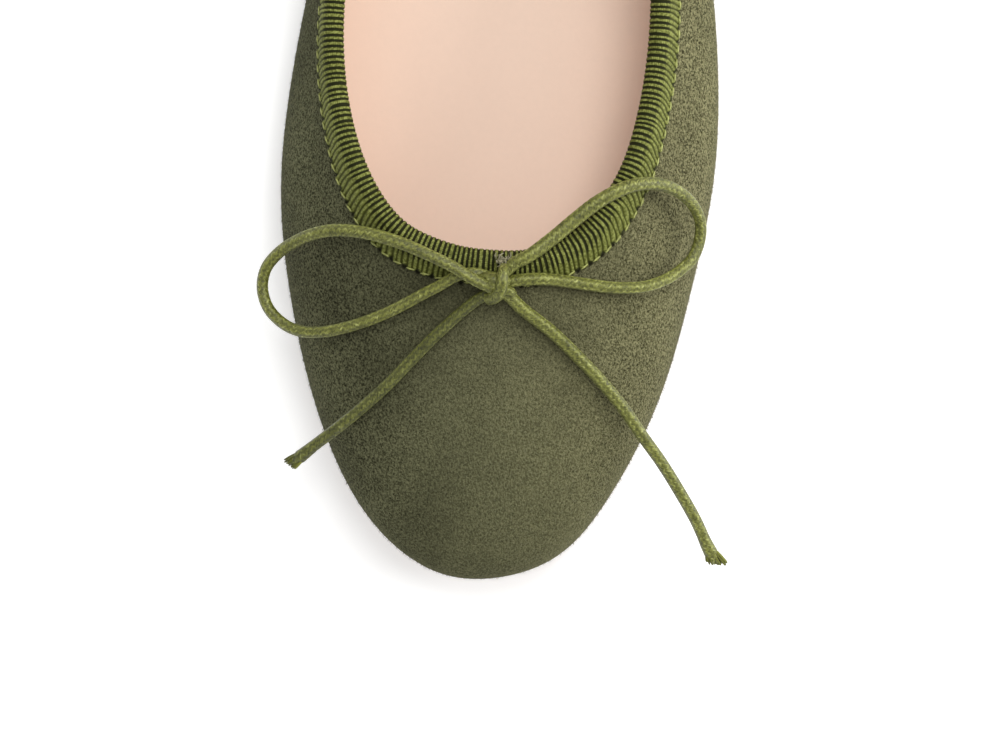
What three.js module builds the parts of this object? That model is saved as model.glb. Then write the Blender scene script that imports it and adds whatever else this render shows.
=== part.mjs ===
// Left heeled ballet flat in suede, with a ribbon-bound topline and a bow of round waxed cord.
// Millimetres. +Z is up and the floor is z = 0. The toe points along -Y, the outer side of the foot along +X.
// The origin is on the floor, at the middle of the shoe's length and of its ball width.
import * as THREE from "three";

// Sizes of the shoe
const shoeLength = 246;
const ballWidth = 81;
const throatHeight = 40;
const backHeight = 71;
const heelHeight = 15;
const heelLength = 54;
const seatRun = 5;
const treadStart = 93;
const treadLength = 34;
const toeSpring = 7;

// Sizes of the pieces
const upperWall = 1.6;
const lastingMargin = 9;
const cheekHeight = 10;
const featherTuck = 4;
const soleThickness = 3;
const soleBevel = 0.8;
const soleLip = 1.6;
const insoleThickness = 2;
const topPieceThickness = 4;
const heelInset = 0.6;
const heelTaper = 2;
const bindingDepth = 5.1;
const ribbonThickness = 0.5;
const foldFullness = 0.1;
const cordDiameter = 2.1;
const clearance = 0.3;

// Facets. cordStep and knotStep are in diameters of the cord.
const stepsPerRow = 4;
const marginSteps = 3;
const wallSteps = 8;
const foldSteps = 4;
const capStrips = 3;
const blockSteps = 12;
const cordSides = 8;
const cordStep = 2.5;
const knotStep = 1;

// The section table runs round the shoe from the middle of the heel, along the inner side, over the toe and
// back along the outer side. outX and topX are shares of half the ball width, outY and topY shares of the
// length from the toe tip. topZ goes from the throat's height (0) to the back's (1). wide and tuck are shares
// of cheekHeight and featherTuck. slope is the wall's angle at the topline in degrees. rise and reach place
// the handles of the wall's curve, as shares of its height and of its chord.
const sectionColumns = ["outX", "outY", "topX", "topY", "topZ", "wide", "tuck", "slope", "rise", "reach"];
const sectionRows = [
  [-0.012, 1.0, -0.012, 0.978, 1.0, 1.7, 0.9, 80, 0.36, 0.3],
  [-0.432, 0.976, -0.321, 0.957, 0.95, 1.7, 0.9, 80, 0.36, 0.3],
  [-0.691, 0.911, -0.543, 0.89, 0.79, 1.6, 0.9, 81, 0.38, 0.3],
  [-0.741, 0.805, -0.605, 0.793, 0.43, 1.5, 0.9, 83, 0.38, 0.3],
  [-0.686, 0.671, -0.622, 0.663, 0.0, 1.5, 1.1, 84, 0.38, 0.3],
  [-0.765, 0.537, -0.706, 0.528, -0.23, 1.3, 1.2, 82, 0.38, 0.3],
  [-0.909, 0.419, -0.773, 0.411, -0.24, 1.05, 1.1, 77, 0.4, 0.3],
  [-1.0, 0.313, -0.711, 0.331, -0.09, 0.9, 0.9, 66, 0.46, 0.3],
  [-0.97, 0.224, -0.598, 0.287, -0.03, 0.8, 0.9, 49, 0.52, 0.32],
  [-0.852, 0.135, -0.473, 0.262, -0.01, 0.75, 1.0, 35, 0.56, 0.36],
  [-0.654, 0.059, -0.333, 0.249, 0.0, 0.7, 1.05, 26, 0.56, 0.4],
  [-0.393, 0.014, -0.18, 0.241, 0.0, 0.7, 1.1, 22, 0.55, 0.43],
  [-0.106, 0.0, -0.012, 0.2379, 0.0, 0.7, 1.1, 20, 0.54, 0.44],
  [0.23, 0.014, 0.141, 0.2388, 0.0, 0.7, 1.1, 22, 0.55, 0.43],
  [0.489, 0.059, 0.292, 0.2482, 0.0, 0.7, 1.05, 26, 0.56, 0.4],
  [0.728, 0.135, 0.433, 0.2646, -0.01, 0.75, 1.0, 35, 0.56, 0.36],
  [0.886, 0.224, 0.544, 0.2879, -0.03, 0.8, 0.9, 47, 0.52, 0.32],
  [0.988, 0.313, 0.652, 0.327, -0.1, 0.9, 0.85, 62, 0.46, 0.3],
  [0.988, 0.419, 0.741, 0.411, -0.27, 1.0, 0.8, 72, 0.42, 0.3],
  [0.909, 0.537, 0.731, 0.528, -0.27, 1.1, 0.8, 77, 0.4, 0.3],
  [0.82, 0.671, 0.672, 0.663, -0.04, 1.3, 0.8, 79, 0.38, 0.3],
  [0.765, 0.805, 0.622, 0.793, 0.39, 1.5, 0.9, 81, 0.38, 0.3],
  [0.691, 0.911, 0.548, 0.89, 0.77, 1.6, 0.9, 81, 0.38, 0.3],
  [0.42, 0.976, 0.316, 0.957, 0.95, 1.7, 0.9, 80, 0.36, 0.3],
];

const rowCount = sectionRows.length;
const halfLength = shoeLength / 2;
const halfBall = ballWidth / 2;
const quarterTurn = Math.PI / 2;
const evenSteps = (from, to, n) => Array.from({ length: n + 1 }, (_, i) => from + ((to - from) * i) / n);
const roundTheShoe = evenSteps(0, rowCount, rowCount * stepsPerRow).slice(0, -1);

// A smooth closed curve through values that are one step apart, as a function of the step.
function closedSpline(values) {
  const n = values.length;
  const at = (list, i) => list[(i + n) % n];
  let slopes = values.map(() => 0);
  for (let sweep = 0; sweep < 2 * n; sweep += 1) {
    const last = slopes;
    slopes = last.map((_, i) => {
      const rise = 3 * (at(values, i + 1) - at(values, i - 1));
      return (rise - at(last, i + 1) - at(last, i - 1)) / 4;
    });
  }
  return (t) => {
    const i = Math.floor(t);
    const f = t - i;
    const [a, b] = [at(values, i), at(values, i + 1)];
    const bend = at(slopes, i) * (1 - f) - at(slopes, i + 1) * f;
    return a + (b - a) * f * f * (3 - 2 * f) + bend * f * (1 - f);
  };
}

const column = Object.fromEntries(
  sectionColumns.map((name, c) => [name, closedSpline(sectionRows.map((row) => row[c]))]),
);
const tuckAt = (t) => column.tuck(t) * featherTuck;
const cheekAt = (t) => column.wide(t) * cheekHeight;

// Height of the outsole's underside at y: a level heel seat, the arch, a flat tread and the toe spring.
function undersideAt(y) {
  const fromHeel = halfLength - y;
  const seatEnd = heelLength + seatRun;
  const treadEnd = shoeLength - treadStart - treadLength;
  if (fromHeel <= seatEnd) return heelHeight;
  if (fromHeel < treadEnd) {
    const f = (fromHeel - seatEnd) / (treadEnd - seatEnd);
    return heelHeight * (1 - f * f * (3 - 2 * f));
  }
  const past = Math.max(0, fromHeel - treadEnd - treadLength);
  return toeSpring * (past / treadStart) ** 2;
}

// The outsole's underside raised by a height, as a function of y.
const above = (height) => (y) => undersideAt(y) + height;
const featherAt = above(soleThickness + clearance);

// Unit vector in plan, pointing into the shoe, square to a closed curve of x and y.
function inwardOf(xOf, yOf, t) {
  const h = 0.01;
  const along = new THREE.Vector3(xOf(t + h) - xOf(t - h), yOf(t + h) - yOf(t - h), 0).normalize();
  return new THREE.Vector3(-along.y, along.x, 0);
}

const outlineX = (t) => column.outX(t) * halfBall;
const outlineY = (t) => column.outY(t) * shoeLength - halfLength;
const toplineX = (t) => column.topX(t) * halfBall;
const toplineY = (t) => column.topY(t) * shoeLength - halfLength;

// A point of the plan outline, moved into the shoe by inset, at the height that heightAt gives for its y.
function outlinePoint(t, inset, heightAt) {
  const p = new THREE.Vector3(outlineX(t), outlineY(t), 0);
  p.addScaledVector(inwardOf(outlineX, outlineY, t), inset);
  p.z = heightAt(p.y);
  return p;
}

// A point of the upper's outer face. v runs from -2 at the inner edge of the lasting margin, through -1 at the
// feather edge and 0 at the widest line, to 1 at the topline.
function upperPoint(t, v) {
  if (v < -1) return outlinePoint(t, tuckAt(t) - (v + 1) * lastingMargin, featherAt);
  if (v < 0) {
    const turn = (v + 1) * quarterTurn;
    const p = outlinePoint(t, tuckAt(t) * (1 - Math.sin(turn)), featherAt);
    p.z += cheekAt(t) * (1 - Math.cos(turn));
    return p;
  }
  const wide = outlinePoint(t, 0, featherAt);
  wide.z += cheekAt(t);
  const topZ = throatHeight + (backHeight - throatHeight) * column.topZ(t);
  const top = new THREE.Vector3(toplineX(t), toplineY(t), topZ);
  const slope = THREE.MathUtils.degToRad(column.slope(t));
  const lean = inwardOf(toplineX, toplineY, t).multiplyScalar(Math.cos(slope));
  lean.z = Math.sin(slope);
  const lower = wide.clone();
  lower.z += (top.z - wide.z) * column.rise(t);
  const upper = top.clone().addScaledVector(lean, -wide.distanceTo(top) * column.reach(t));
  return new THREE.CubicBezierCurve3(wide, lower, upper, top).getPoint(v);
}

// Unit vectors at a point of the outer face: out of the shoe, and up along the wall.
function upperAxes(t, v) {
  const h = 0.004;
  const along = upperPoint(t + h, v).sub(upperPoint(t - h, v));
  const up = upperPoint(t, Math.min(v + h, 1)).sub(upperPoint(t, Math.max(v - h, -2))).normalize();
  const out = new THREE.Vector3().crossVectors(along, up).normalize();
  return { out, up };
}

const upperOffset = (t, v, distance) => upperPoint(t, v).addScaledVector(upperAxes(t, v).out, distance);

// The v at which the outer face is a given depth below the topline.
function vAtDepth(t, depth) {
  const stride = 0.01;
  let v = 1;
  let run = 0;
  let last = upperPoint(t, v);
  while (v > stride) {
    const next = upperPoint(t, v - stride);
    const length = next.distanceTo(last);
    if (run + length >= depth) return v - (stride * (depth - run)) / length;
    run += length;
    v -= stride;
    last = next;
  }
  return v;
}

// A geometry from points and the triangles that share them.
function geometryOf(points, triangles) {
  const geometry = new THREE.BufferGeometry();
  geometry.setAttribute("position", new THREE.Float32BufferAttribute(points.flatMap((p) => p.toArray()), 3));
  geometry.setIndex(triangles.flat());
  geometry.computeVertexNormals();
  return geometry;
}

// The two triangles of each cell between neighbouring rings of n points, which close on themselves.
function wallTriangles(ringA, ringB, n) {
  const cells = [];
  for (let i = 0; i < n; i += 1) {
    const next = (i + 1) % n;
    cells.push([ringA + i, ringB + i, ringB + next], [ringA + i, ringB + next, ringA + next]);
  }
  return cells;
}

// A band that closes on itself, from the same closed section of points at each step round the shoe.
function bandGeometry(sections) {
  const n = sections[0].length;
  const rings = sections.length;
  const triangles = sections.flatMap((_, i) => wallTriangles(i * n, ((i + 1) % rings) * n, n));
  return geometryOf(sections.flat(), triangles);
}

// A plate from two or more rings of points, lowest first, that run from the heel's middle along the inner side
// to the front and back along the outer side, so that point k faces point n - k. Each face between them is
// ruled in strips, and lowAt and highAt give its height at each y.
function plateGeometry(rings, strips, lowAt, highAt) {
  const n = rings[0].length;
  const points = rings.flat();
  const triangles = rings.slice(1).flatMap((_, r) => wallTriangles((r + 1) * n, r * n, n));
  const addFace = (start, heightAt, upward) => {
    const rows = [[start]];
    for (let k = 1; k < n / 2; k += 1) {
      const middles = evenSteps(0, 1, strips).slice(1, -1).map((share) => {
        const p = points[start + k].clone().lerp(points[start + n - k], share);
        p.z = heightAt(p.y);
        return points.push(p) - 1;
      });
      rows.push([start + k, ...middles, start + n - k]);
    }
    if (n % 2 === 0) rows.push([start + n / 2]);
    const add = (a, b, c) => triangles.push(upward ? [a, b, c] : [a, c, b]);
    rows.slice(1).forEach((far, k) => {
      const near = rows[k];
      const pick = (row, s) => row[Math.min(s, row.length - 1)];
      for (let s = 0; s < Math.max(near.length, far.length) - 1; s += 1) {
        if (far.length > 1) add(pick(near, s), pick(far, s), pick(far, s + 1));
        if (near.length > 1) add(pick(near, s), pick(far, s + 1), pick(near, s + 1));
      }
    });
  };
  addFace(0, lowAt, false);
  addFace((rings.length - 1) * n, highAt, true);
  return geometryOf(points, triangles);
}

// The upper: its outer face from lasting margin to topline, and back down its inner face.
function upperGeometry() {
  const stations = [-2, ...evenSteps(-1, 0, marginSteps), ...evenSteps(0, 1, wallSteps).slice(1)];
  const outer = (t) => stations.map((v) => upperPoint(t, v));
  const inner = (t) => stations.toReversed().map((v) => upperOffset(t, v, -upperWall));
  return bandGeometry(roundTheShoe.map((t) => [...outer(t), ...inner(t)]));
}

// The ribbon binding: a strip folded over the topline, full at its fold.
function bindingGeometry() {
  const skinAt = (t, gap) => {
    const legs = evenSteps(vAtDepth(t, bindingDepth), 1, 2);
    const { out, up } = upperAxes(t, 1);
    const middle = upperOffset(t, 1, -upperWall / 2);
    const radius = upperWall / 2 + gap;
    const fold = evenSteps(0, Math.PI, foldSteps).slice(1, -1).map((turn) => {
      const p = middle.clone().addScaledVector(out, Math.cos(turn) * radius);
      return p.addScaledVector(up, Math.sin(turn) * (radius + foldFullness));
    });
    return [
      ...legs.map((v) => upperOffset(t, v, gap)),
      ...fold,
      ...legs.toReversed().map((v) => upperOffset(t, v, -upperWall - gap)),
    ];
  };
  const outside = (t) => skinAt(t, clearance + ribbonThickness);
  const inside = (t) => skinAt(t, clearance).toReversed();
  return bandGeometry(roundTheShoe.map((t) => [...outside(t), ...inside(t)]));
}

// The outsole: a plate a little wider than the feather edge, bevelled below.
function outsoleGeometry() {
  const ringAt = (inset, height) => roundTheShoe.map((t) => outlinePoint(t, tuckAt(t) + inset, above(height)));
  const rings = [ringAt(soleBevel - soleLip, 0), ringAt(-soleLip, soleBevel), ringAt(-soleLip, soleThickness)];
  return plateGeometry(rings, capStrips, undersideAt, above(soleThickness));
}

// The insole: a plate that lies on the lasting margin, its edge along the wall's inner face.
function insoleGeometry() {
  const bottom = soleThickness + upperWall + 2 * clearance;
  const top = bottom + insoleThickness;
  const ringAt = (height) =>
    roundTheShoe.map((t) => {
      const turn = Math.acos(1 - (height - bottom) / (cheekAt(t) - upperWall - clearance));
      const p = upperOffset(t, turn / quarterTurn - 1, -upperWall - clearance);
      p.z = undersideAt(p.y) + height;
      return p;
    });
  return plateGeometry([ringAt(bottom), ringAt(top)], capStrips, above(bottom), above(top));
}

// A block under the heel seat from one height to another, tapered towards the floor, with a flat breast.
function heelBlockGeometry(low, high) {
  const breastY = halfLength - heelLength;
  const ringAt = (z) => {
    const inset = heelInset - soleLip + heelTaper * (1 - z / heelHeight);
    const pointAt = (t) => outlinePoint(t, tuckAt(t) + inset, () => z);
    const stepAtBreast = (from, to) => {
      let [behind, ahead] = [from, to];
      for (let i = 0; i < 30; i += 1) {
        const t = (behind + ahead) / 2;
        if (pointAt(t).y > breastY) behind = t;
        else ahead = t;
      }
      return behind;
    };
    const innerSide = evenSteps(0, stepAtBreast(0, rowCount / 2), blockSteps);
    const outerSide = evenSteps(stepAtBreast(rowCount, rowCount / 2), rowCount, blockSteps).slice(0, -1);
    return [...innerSide, ...outerSide].map(pointAt);
  };
  return plateGeometry([ringAt(low), ringAt(high)], 1, () => low, () => high);
}

// The bow's cords, as points of each centre line in x, y and z.
const cordRoutes = {
  bow_knot: [
    [1.5, -62.9, 42.4], [0.5, -64.0, 43.4], [0, -65.7, 45.0], [-0.1, -67.6, 45.7], [-0.2, -69.4, 44.6],
    [-0.7, -70.9, 42.3], [-1.7, -71.9, 39.9],
  ],
  bow_loop_medial: [
    [-1.9, -69.0, 43.1], [-3.7, -68.2, 43.7], [-5.9, -67.0, 44.0], [-8.4, -65.4, 44.0],
    [-12.0, -63.6, 43.6], [-18.0, -61.0, 42.5], [-23.9, -59.2, 40.4], [-29.7, -58.5, 37.7],
    [-33.7, -59.0, 35.3], [-37.4, -60.4, 32.4], [-40.7, -62.5, 29.8], [-43.2, -65.5, 28.0],
    [-43.9, -69.0, 27.3], [-42.9, -72.6, 27.6], [-40.4, -75.4, 28.5], [-37.2, -77.0, 29.9],
    [-32.7, -77.2, 31.7], [-28.1, -76.3, 33.4], [-24.0, -75.0, 35.1], [-19.3, -73.0, 36.9],
    [-14.4, -70.4, 39.2], [-10.7, -68.5, 40.5], [-8.5, -67.2, 41.2], [-6.3, -66.5, 41.5],
    [-4.1, -66.5, 41.6], [-1.9, -67.1, 41.5],
  ],
  bow_loop_lateral: [
    [2.9, -64.5, 42.3], [5.1, -63.4, 42.7], [9.5, -60.2, 42.3], [13.7, -56.7, 42.2], [17.8, -53.5, 42.1],
    [21.5, -51.4, 41.9], [24.9, -50.2, 40.7], [28.8, -50.0, 38.2], [32.0, -50.9, 35.4],
    [35.1, -53.2, 32.1], [36.9, -56.6, 29.6], [36.9, -60.0, 28.3], [35.7, -63.3, 28.5],
    [33.4, -65.7, 29.9], [30.2, -67.7, 31.9], [26.3, -68.9, 34.2], [21.1, -69.1, 36.6],
    [15.2, -68.4, 38.9], [9.3, -67.6, 40.6], [4.6, -67.6, 41.1], [1.5, -68.0, 41.0],
  ],
  bow_end_medial: [
    [-4.0, -71.2, 40.0], [-6.8, -73.3, 38.5], [-12.2, -78.2, 36.5], [-16.9, -83.0, 34.6],
    [-21.1, -87.3, 32.6], [-25.7, -91.4, 30.5], [-30.1, -95.0, 28.3], [-33.8, -97.8, 26.4],
    [-36.6, -100.0, 25.0], [-38.7, -101.6, 23.9],
  ],
  bow_end_lateral: [
    [1.4, -70.4, 40.2], [4.0, -72.9, 39.1], [9.5, -77.2, 37.0], [14.3, -81.8, 35.0], [18.6, -86.3, 32.9],
    [22.6, -91.1, 30.5], [26.2, -96.3, 28.2], [29.8, -101.3, 25.5], [33.3, -106.9, 22.9],
    [36.3, -112.2, 20.4], [38.4, -116.8, 18.4], [40.1, -120.0, 17.0],
  ],
};


// A round cord along a smooth curve through a route's points, in steps of about the given length.
function cordGeometry(route, step) {
  const curve = new THREE.CatmullRomCurve3(route.map(([x, y, z]) => new THREE.Vector3(x, y, z)));
  const round = evenSteps(0, 2 * Math.PI, cordSides).slice(0, -1);
  const corner = (turn) => new THREE.Vector2(Math.cos(turn), Math.sin(turn)).multiplyScalar(cordDiameter / 2);
  const steps = Math.round(curve.getLength() / step);
  return new THREE.ExtrudeGeometry(new THREE.Shape(round.map(corner)), {
    steps,
    bevelEnabled: false,
    extrudePath: curve,
  });
}

const materialOf = (color, roughness) => new THREE.MeshStandardMaterial({ color, roughness, metalness: 0 });
const shoe = new THREE.Group();

function addPiece(name, geometry, material) {
  const mesh = new THREE.Mesh(geometry, material);
  mesh.name = name;
  shoe.add(mesh);
}

addPiece("upper", upperGeometry(), materialOf(0x5f6049, 0.95));
addPiece("topline_binding", bindingGeometry(), materialOf(0x55602a, 0.8));
addPiece("insole", insoleGeometry(), materialOf(0xe6c6b0, 0.6));
addPiece("outsole", outsoleGeometry(), materialOf(0xa07a52, 0.6));
const heelGeometry = heelBlockGeometry(topPieceThickness + clearance, heelHeight - clearance);
addPiece("heel", heelGeometry, materialOf(0x4a3626, 0.5));
addPiece("heel_top_piece", heelBlockGeometry(0, topPieceThickness), materialOf(0x2b2622, 0.8));
for (const [name, route] of Object.entries(cordRoutes)) {
  const step = name === "bow_knot" ? knotStep : cordStep;
  addPiece(name, cordGeometry(route, step * cordDiameter), materialOf(0x7e804f, 0.6));
}

export default shoe;
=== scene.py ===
# A left heeled ballet flat in olive suede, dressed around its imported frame.
# Lengths in the tables and the shape functions are millimetres; meshes are made in metres.

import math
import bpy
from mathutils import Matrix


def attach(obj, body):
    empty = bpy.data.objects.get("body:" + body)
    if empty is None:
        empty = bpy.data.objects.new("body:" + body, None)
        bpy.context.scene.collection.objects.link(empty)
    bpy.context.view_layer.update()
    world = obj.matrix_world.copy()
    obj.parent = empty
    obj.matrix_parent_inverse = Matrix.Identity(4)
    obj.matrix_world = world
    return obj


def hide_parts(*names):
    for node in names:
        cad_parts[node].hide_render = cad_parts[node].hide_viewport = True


bl_info = {
    "name": "Heeled ballet flat",
    "version": (1, 0, 0),
    "blender": (4, 5, 0),
    "location": "3D View > Sidebar > Ballet flat",
    "description": "Suede ballet flat with a ribbon-bound topline, a cord bow and a low stacked heel",
    "category": "Object",
}

import bmesh
import bpy
import numpy as np
from mathutils import Vector

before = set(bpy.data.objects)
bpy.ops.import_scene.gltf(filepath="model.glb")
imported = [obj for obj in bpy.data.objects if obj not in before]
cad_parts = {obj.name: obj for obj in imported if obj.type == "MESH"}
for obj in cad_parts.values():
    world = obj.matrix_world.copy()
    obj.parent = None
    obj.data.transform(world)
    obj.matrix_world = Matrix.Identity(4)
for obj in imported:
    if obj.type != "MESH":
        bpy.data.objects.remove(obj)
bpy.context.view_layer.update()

MM = 0.001
TAU = 2 * math.pi

# Sizes of the shoe, as in the part's source
SHOE_LENGTH = 246
BALL_WIDTH = 81
THROAT_HEIGHT = 40
BACK_HEIGHT = 71
HEEL_HEIGHT = 15
HEEL_LENGTH = 54
SEAT_RUN = 5
TREAD_START = 93
TREAD_LENGTH = 34
TOE_SPRING = 7
UPPER_WALL = 1.6
SUEDE_THICKNESS = 1.0
LASTING_MARGIN = 9
CHEEK_HEIGHT = 10
FEATHER_TUCK = 4
SOLE_THICKNESS = 3
SOLE_BEVEL = 0.8
SOLE_LIP = 1.6
INSOLE_THICKNESS = 2
TOP_PIECE_THICKNESS = 4
HEEL_INSET = 0.6
HEEL_TAPER = 2
BINDING_DEPTH = 5.1
RIBBON_THICKNESS = 0.5
FOLD_FULLNESS = 0.1
STITCH_PULL = 0.22
CORD_DIAMETER = 2.1
CORD_STEP = 0.16
BRAID_STRANDS = 6.0
CLEARANCE = 0.3
RIBBON_FACE = CLEARANCE + RIBBON_THICKNESS

HALF_LENGTH = SHOE_LENGTH / 2
HALF_BALL = BALL_WIDTH / 2

# The section table of the part's source, a row for each section round the shoe from the heel's middle.
SECTION_COLUMNS = ("outX", "outY", "topX", "topY", "topZ", "wide", "tuck", "slope", "rise", "reach")
SECTION_ROWS = (
    (-0.012, 1.0, -0.012, 0.978, 1.0, 1.7, 0.9, 80, 0.36, 0.3),
    (-0.432, 0.976, -0.321, 0.957, 0.95, 1.7, 0.9, 80, 0.36, 0.3),
    (-0.691, 0.911, -0.543, 0.89, 0.79, 1.6, 0.9, 81, 0.38, 0.3),
    (-0.741, 0.805, -0.605, 0.793, 0.43, 1.5, 0.9, 83, 0.38, 0.3),
    (-0.686, 0.671, -0.622, 0.663, 0.0, 1.5, 1.1, 84, 0.38, 0.3),
    (-0.765, 0.537, -0.706, 0.528, -0.23, 1.3, 1.2, 82, 0.38, 0.3),
    (-0.909, 0.419, -0.773, 0.411, -0.24, 1.05, 1.1, 77, 0.4, 0.3),
    (-1.0, 0.313, -0.711, 0.331, -0.09, 0.9, 0.9, 66, 0.46, 0.3),
    (-0.97, 0.224, -0.598, 0.287, -0.03, 0.8, 0.9, 49, 0.52, 0.32),
    (-0.852, 0.135, -0.473, 0.262, -0.01, 0.75, 1.0, 35, 0.56, 0.36),
    (-0.654, 0.059, -0.333, 0.249, 0.0, 0.7, 1.05, 26, 0.56, 0.4),
    (-0.393, 0.014, -0.18, 0.241, 0.0, 0.7, 1.1, 22, 0.55, 0.43),
    (-0.106, 0.0, -0.012, 0.2379, 0.0, 0.7, 1.1, 20, 0.54, 0.44),
    (0.23, 0.014, 0.141, 0.2388, 0.0, 0.7, 1.1, 22, 0.55, 0.43),
    (0.489, 0.059, 0.292, 0.2482, 0.0, 0.7, 1.05, 26, 0.56, 0.4),
    (0.728, 0.135, 0.433, 0.2646, -0.01, 0.75, 1.0, 35, 0.56, 0.36),
    (0.886, 0.224, 0.544, 0.2879, -0.03, 0.8, 0.9, 47, 0.52, 0.32),
    (0.988, 0.313, 0.652, 0.327, -0.1, 0.9, 0.85, 62, 0.46, 0.3),
    (0.988, 0.419, 0.741, 0.411, -0.27, 1.0, 0.8, 72, 0.42, 0.3),
    (0.909, 0.537, 0.731, 0.528, -0.27, 1.1, 0.8, 77, 0.4, 0.3),
    (0.82, 0.671, 0.672, 0.663, -0.04, 1.3, 0.8, 79, 0.38, 0.3),
    (0.765, 0.805, 0.622, 0.793, 0.39, 1.5, 0.9, 81, 0.38, 0.3),
    (0.691, 0.911, 0.548, 0.89, 0.77, 1.6, 0.9, 81, 0.38, 0.3),
    (0.42, 0.976, 0.316, 0.957, 0.95, 1.7, 0.9, 80, 0.36, 0.3),
)
ROW_COUNT = len(SECTION_ROWS)

# The bow's cords, as in the part's source: points of each centre line.
CORD_ROUTES = {
    "bow_knot": (
        (1.5, -62.9, 42.4), (0.5, -64.0, 43.4), (0, -65.7, 45.0), (-0.1, -67.6, 45.7),
        (-0.2, -69.4, 44.6), (-0.7, -70.9, 42.3), (-1.7, -71.9, 39.9),
    ),
    "bow_loop_medial": (
        (-1.9, -69.0, 43.1), (-3.7, -68.2, 43.7), (-5.9, -67.0, 44.0), (-8.4, -65.4, 44.0),
        (-12.0, -63.6, 43.6), (-18.0, -61.0, 42.5), (-23.9, -59.2, 40.4), (-29.7, -58.5, 37.7),
        (-33.7, -59.0, 35.3), (-37.4, -60.4, 32.4), (-40.7, -62.5, 29.8), (-43.2, -65.5, 28.0),
        (-43.9, -69.0, 27.3), (-42.9, -72.6, 27.6), (-40.4, -75.4, 28.5), (-37.2, -77.0, 29.9),
        (-32.7, -77.2, 31.7), (-28.1, -76.3, 33.4), (-24.0, -75.0, 35.1), (-19.3, -73.0, 36.9),
        (-14.4, -70.4, 39.2), (-10.7, -68.5, 40.5), (-8.5, -67.2, 41.2), (-6.3, -66.5, 41.5),
        (-4.1, -66.5, 41.6), (-1.9, -67.1, 41.5),
    ),
    "bow_loop_lateral": (
        (2.9, -64.5, 42.3), (5.1, -63.4, 42.7), (9.5, -60.2, 42.3), (13.7, -56.7, 42.2),
        (17.8, -53.5, 42.1), (21.5, -51.4, 41.9), (24.9, -50.2, 40.7), (28.8, -50.0, 38.2),
        (32.0, -50.9, 35.4), (35.1, -53.2, 32.1), (36.9, -56.6, 29.6), (36.9, -60.0, 28.3),
        (35.7, -63.3, 28.5), (33.4, -65.7, 29.9), (30.2, -67.7, 31.9), (26.3, -68.9, 34.2),
        (21.1, -69.1, 36.6), (15.2, -68.4, 38.9), (9.3, -67.6, 40.6), (4.6, -67.6, 41.1),
        (1.5, -68.0, 41.0),
    ),
    "bow_end_medial": (
        (-4.0, -71.2, 40.0), (-6.8, -73.3, 38.5), (-12.2, -78.2, 36.5), (-16.9, -83.0, 34.6),
        (-21.1, -87.3, 32.6), (-25.7, -91.4, 30.5), (-30.1, -95.0, 28.3), (-33.8, -97.8, 26.4),
        (-36.6, -100.0, 25.0), (-38.7, -101.6, 23.9),
    ),
    "bow_end_lateral": (
        (1.4, -70.4, 40.2), (4.0, -72.9, 39.1), (9.5, -77.2, 37.0), (14.3, -81.8, 35.0),
        (18.6, -86.3, 32.9), (22.6, -91.1, 30.5), (26.2, -96.3, 28.2), (29.8, -101.3, 25.5),
        (33.3, -106.9, 22.9), (36.3, -112.2, 20.4), (38.4, -116.8, 18.4), (40.1, -120.0, 17.0),
    ),
}
# Stretches of each cord that run on inside the knot, before and after its route.
CORD_TAILS = {
    "bow_loop_medial": (((0.3, -69.4, 42.3),), ((0.2, -67.4, 41.4),)),
    "bow_loop_lateral": (((0.9, -66.2, 42.0),), ((-0.2, -68.0, 41.3),)),
    "bow_end_medial": (((-1.6, -69.9, 41.2),), ()),
    "bow_end_lateral": (((-0.4, -69.6, 41.4),), ()),
}


# Shape of the shoe

def closed_spline(values):
    """A smooth closed curve through values that are one step apart, as a function of the step."""
    v = np.array(values, float)
    n = len(v)
    one = np.eye(n)
    system = 4 * one + np.roll(one, 1, axis=1) + np.roll(one, -1, axis=1)
    slopes = np.linalg.solve(system, 3 * (np.roll(v, -1) - np.roll(v, 1)))

    def at(t):
        i = np.floor(t).astype(int)
        f = t - i
        a, b = v[i % n], v[(i + 1) % n]
        bend = slopes[i % n] * (1 - f) - slopes[(i + 1) % n] * f
        return a + (b - a) * f * f * (3 - 2 * f) + bend * f * (1 - f)

    return at


column = {
    name: closed_spline([row[c] for row in SECTION_ROWS]) for c, name in enumerate(SECTION_COLUMNS)
}


def plan(t, edge):
    x, y = column[edge + "X"](t), column[edge + "Y"](t)
    return np.stack([x * HALF_BALL, y * SHOE_LENGTH - HALF_LENGTH], axis=-1)


def outline(t):
    """Plan outline of the upper at its widest."""
    return plan(t, "out")


def topline(t):
    """Plan of the upper's top edge."""
    return plan(t, "top")


def inward(curve, t):
    """Unit vectors in plan, square to a closed plan curve, that point into the shoe."""
    along = curve(t + 0.01) - curve(t - 0.01)
    along /= np.linalg.norm(along, axis=-1, keepdims=True)
    return np.stack([-along[..., 1], along[..., 0]], axis=-1)


def underside(y):
    """Height of the outsole's underside: a level seat, the arch, a flat tread and the toe spring."""
    from_heel = HALF_LENGTH - y
    seat_end = HEEL_LENGTH + SEAT_RUN
    tread_end = SHOE_LENGTH - TREAD_START - TREAD_LENGTH
    f = np.clip((from_heel - seat_end) / (tread_end - seat_end), 0, 1)
    past = np.maximum(0, from_heel - tread_end - TREAD_LENGTH)
    return HEEL_HEIGHT * (1 - f * f * (3 - 2 * f)) + TOE_SPRING * (past / TREAD_START) ** 2


def tuck_at(t):
    return column["tuck"](t) * FEATHER_TUCK


def cheek_at(t):
    return column["wide"](t) * CHEEK_HEIGHT


def sole_point(t, inset, height):
    """The outline moved into the shoe, at a height above the outsole's underside."""
    xy = outline(t) + inward(outline, t) * np.asarray(inset)[..., None]
    return np.concatenate([xy, (underside(xy[..., 1]) + height)[..., None]], axis=-1)


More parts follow.
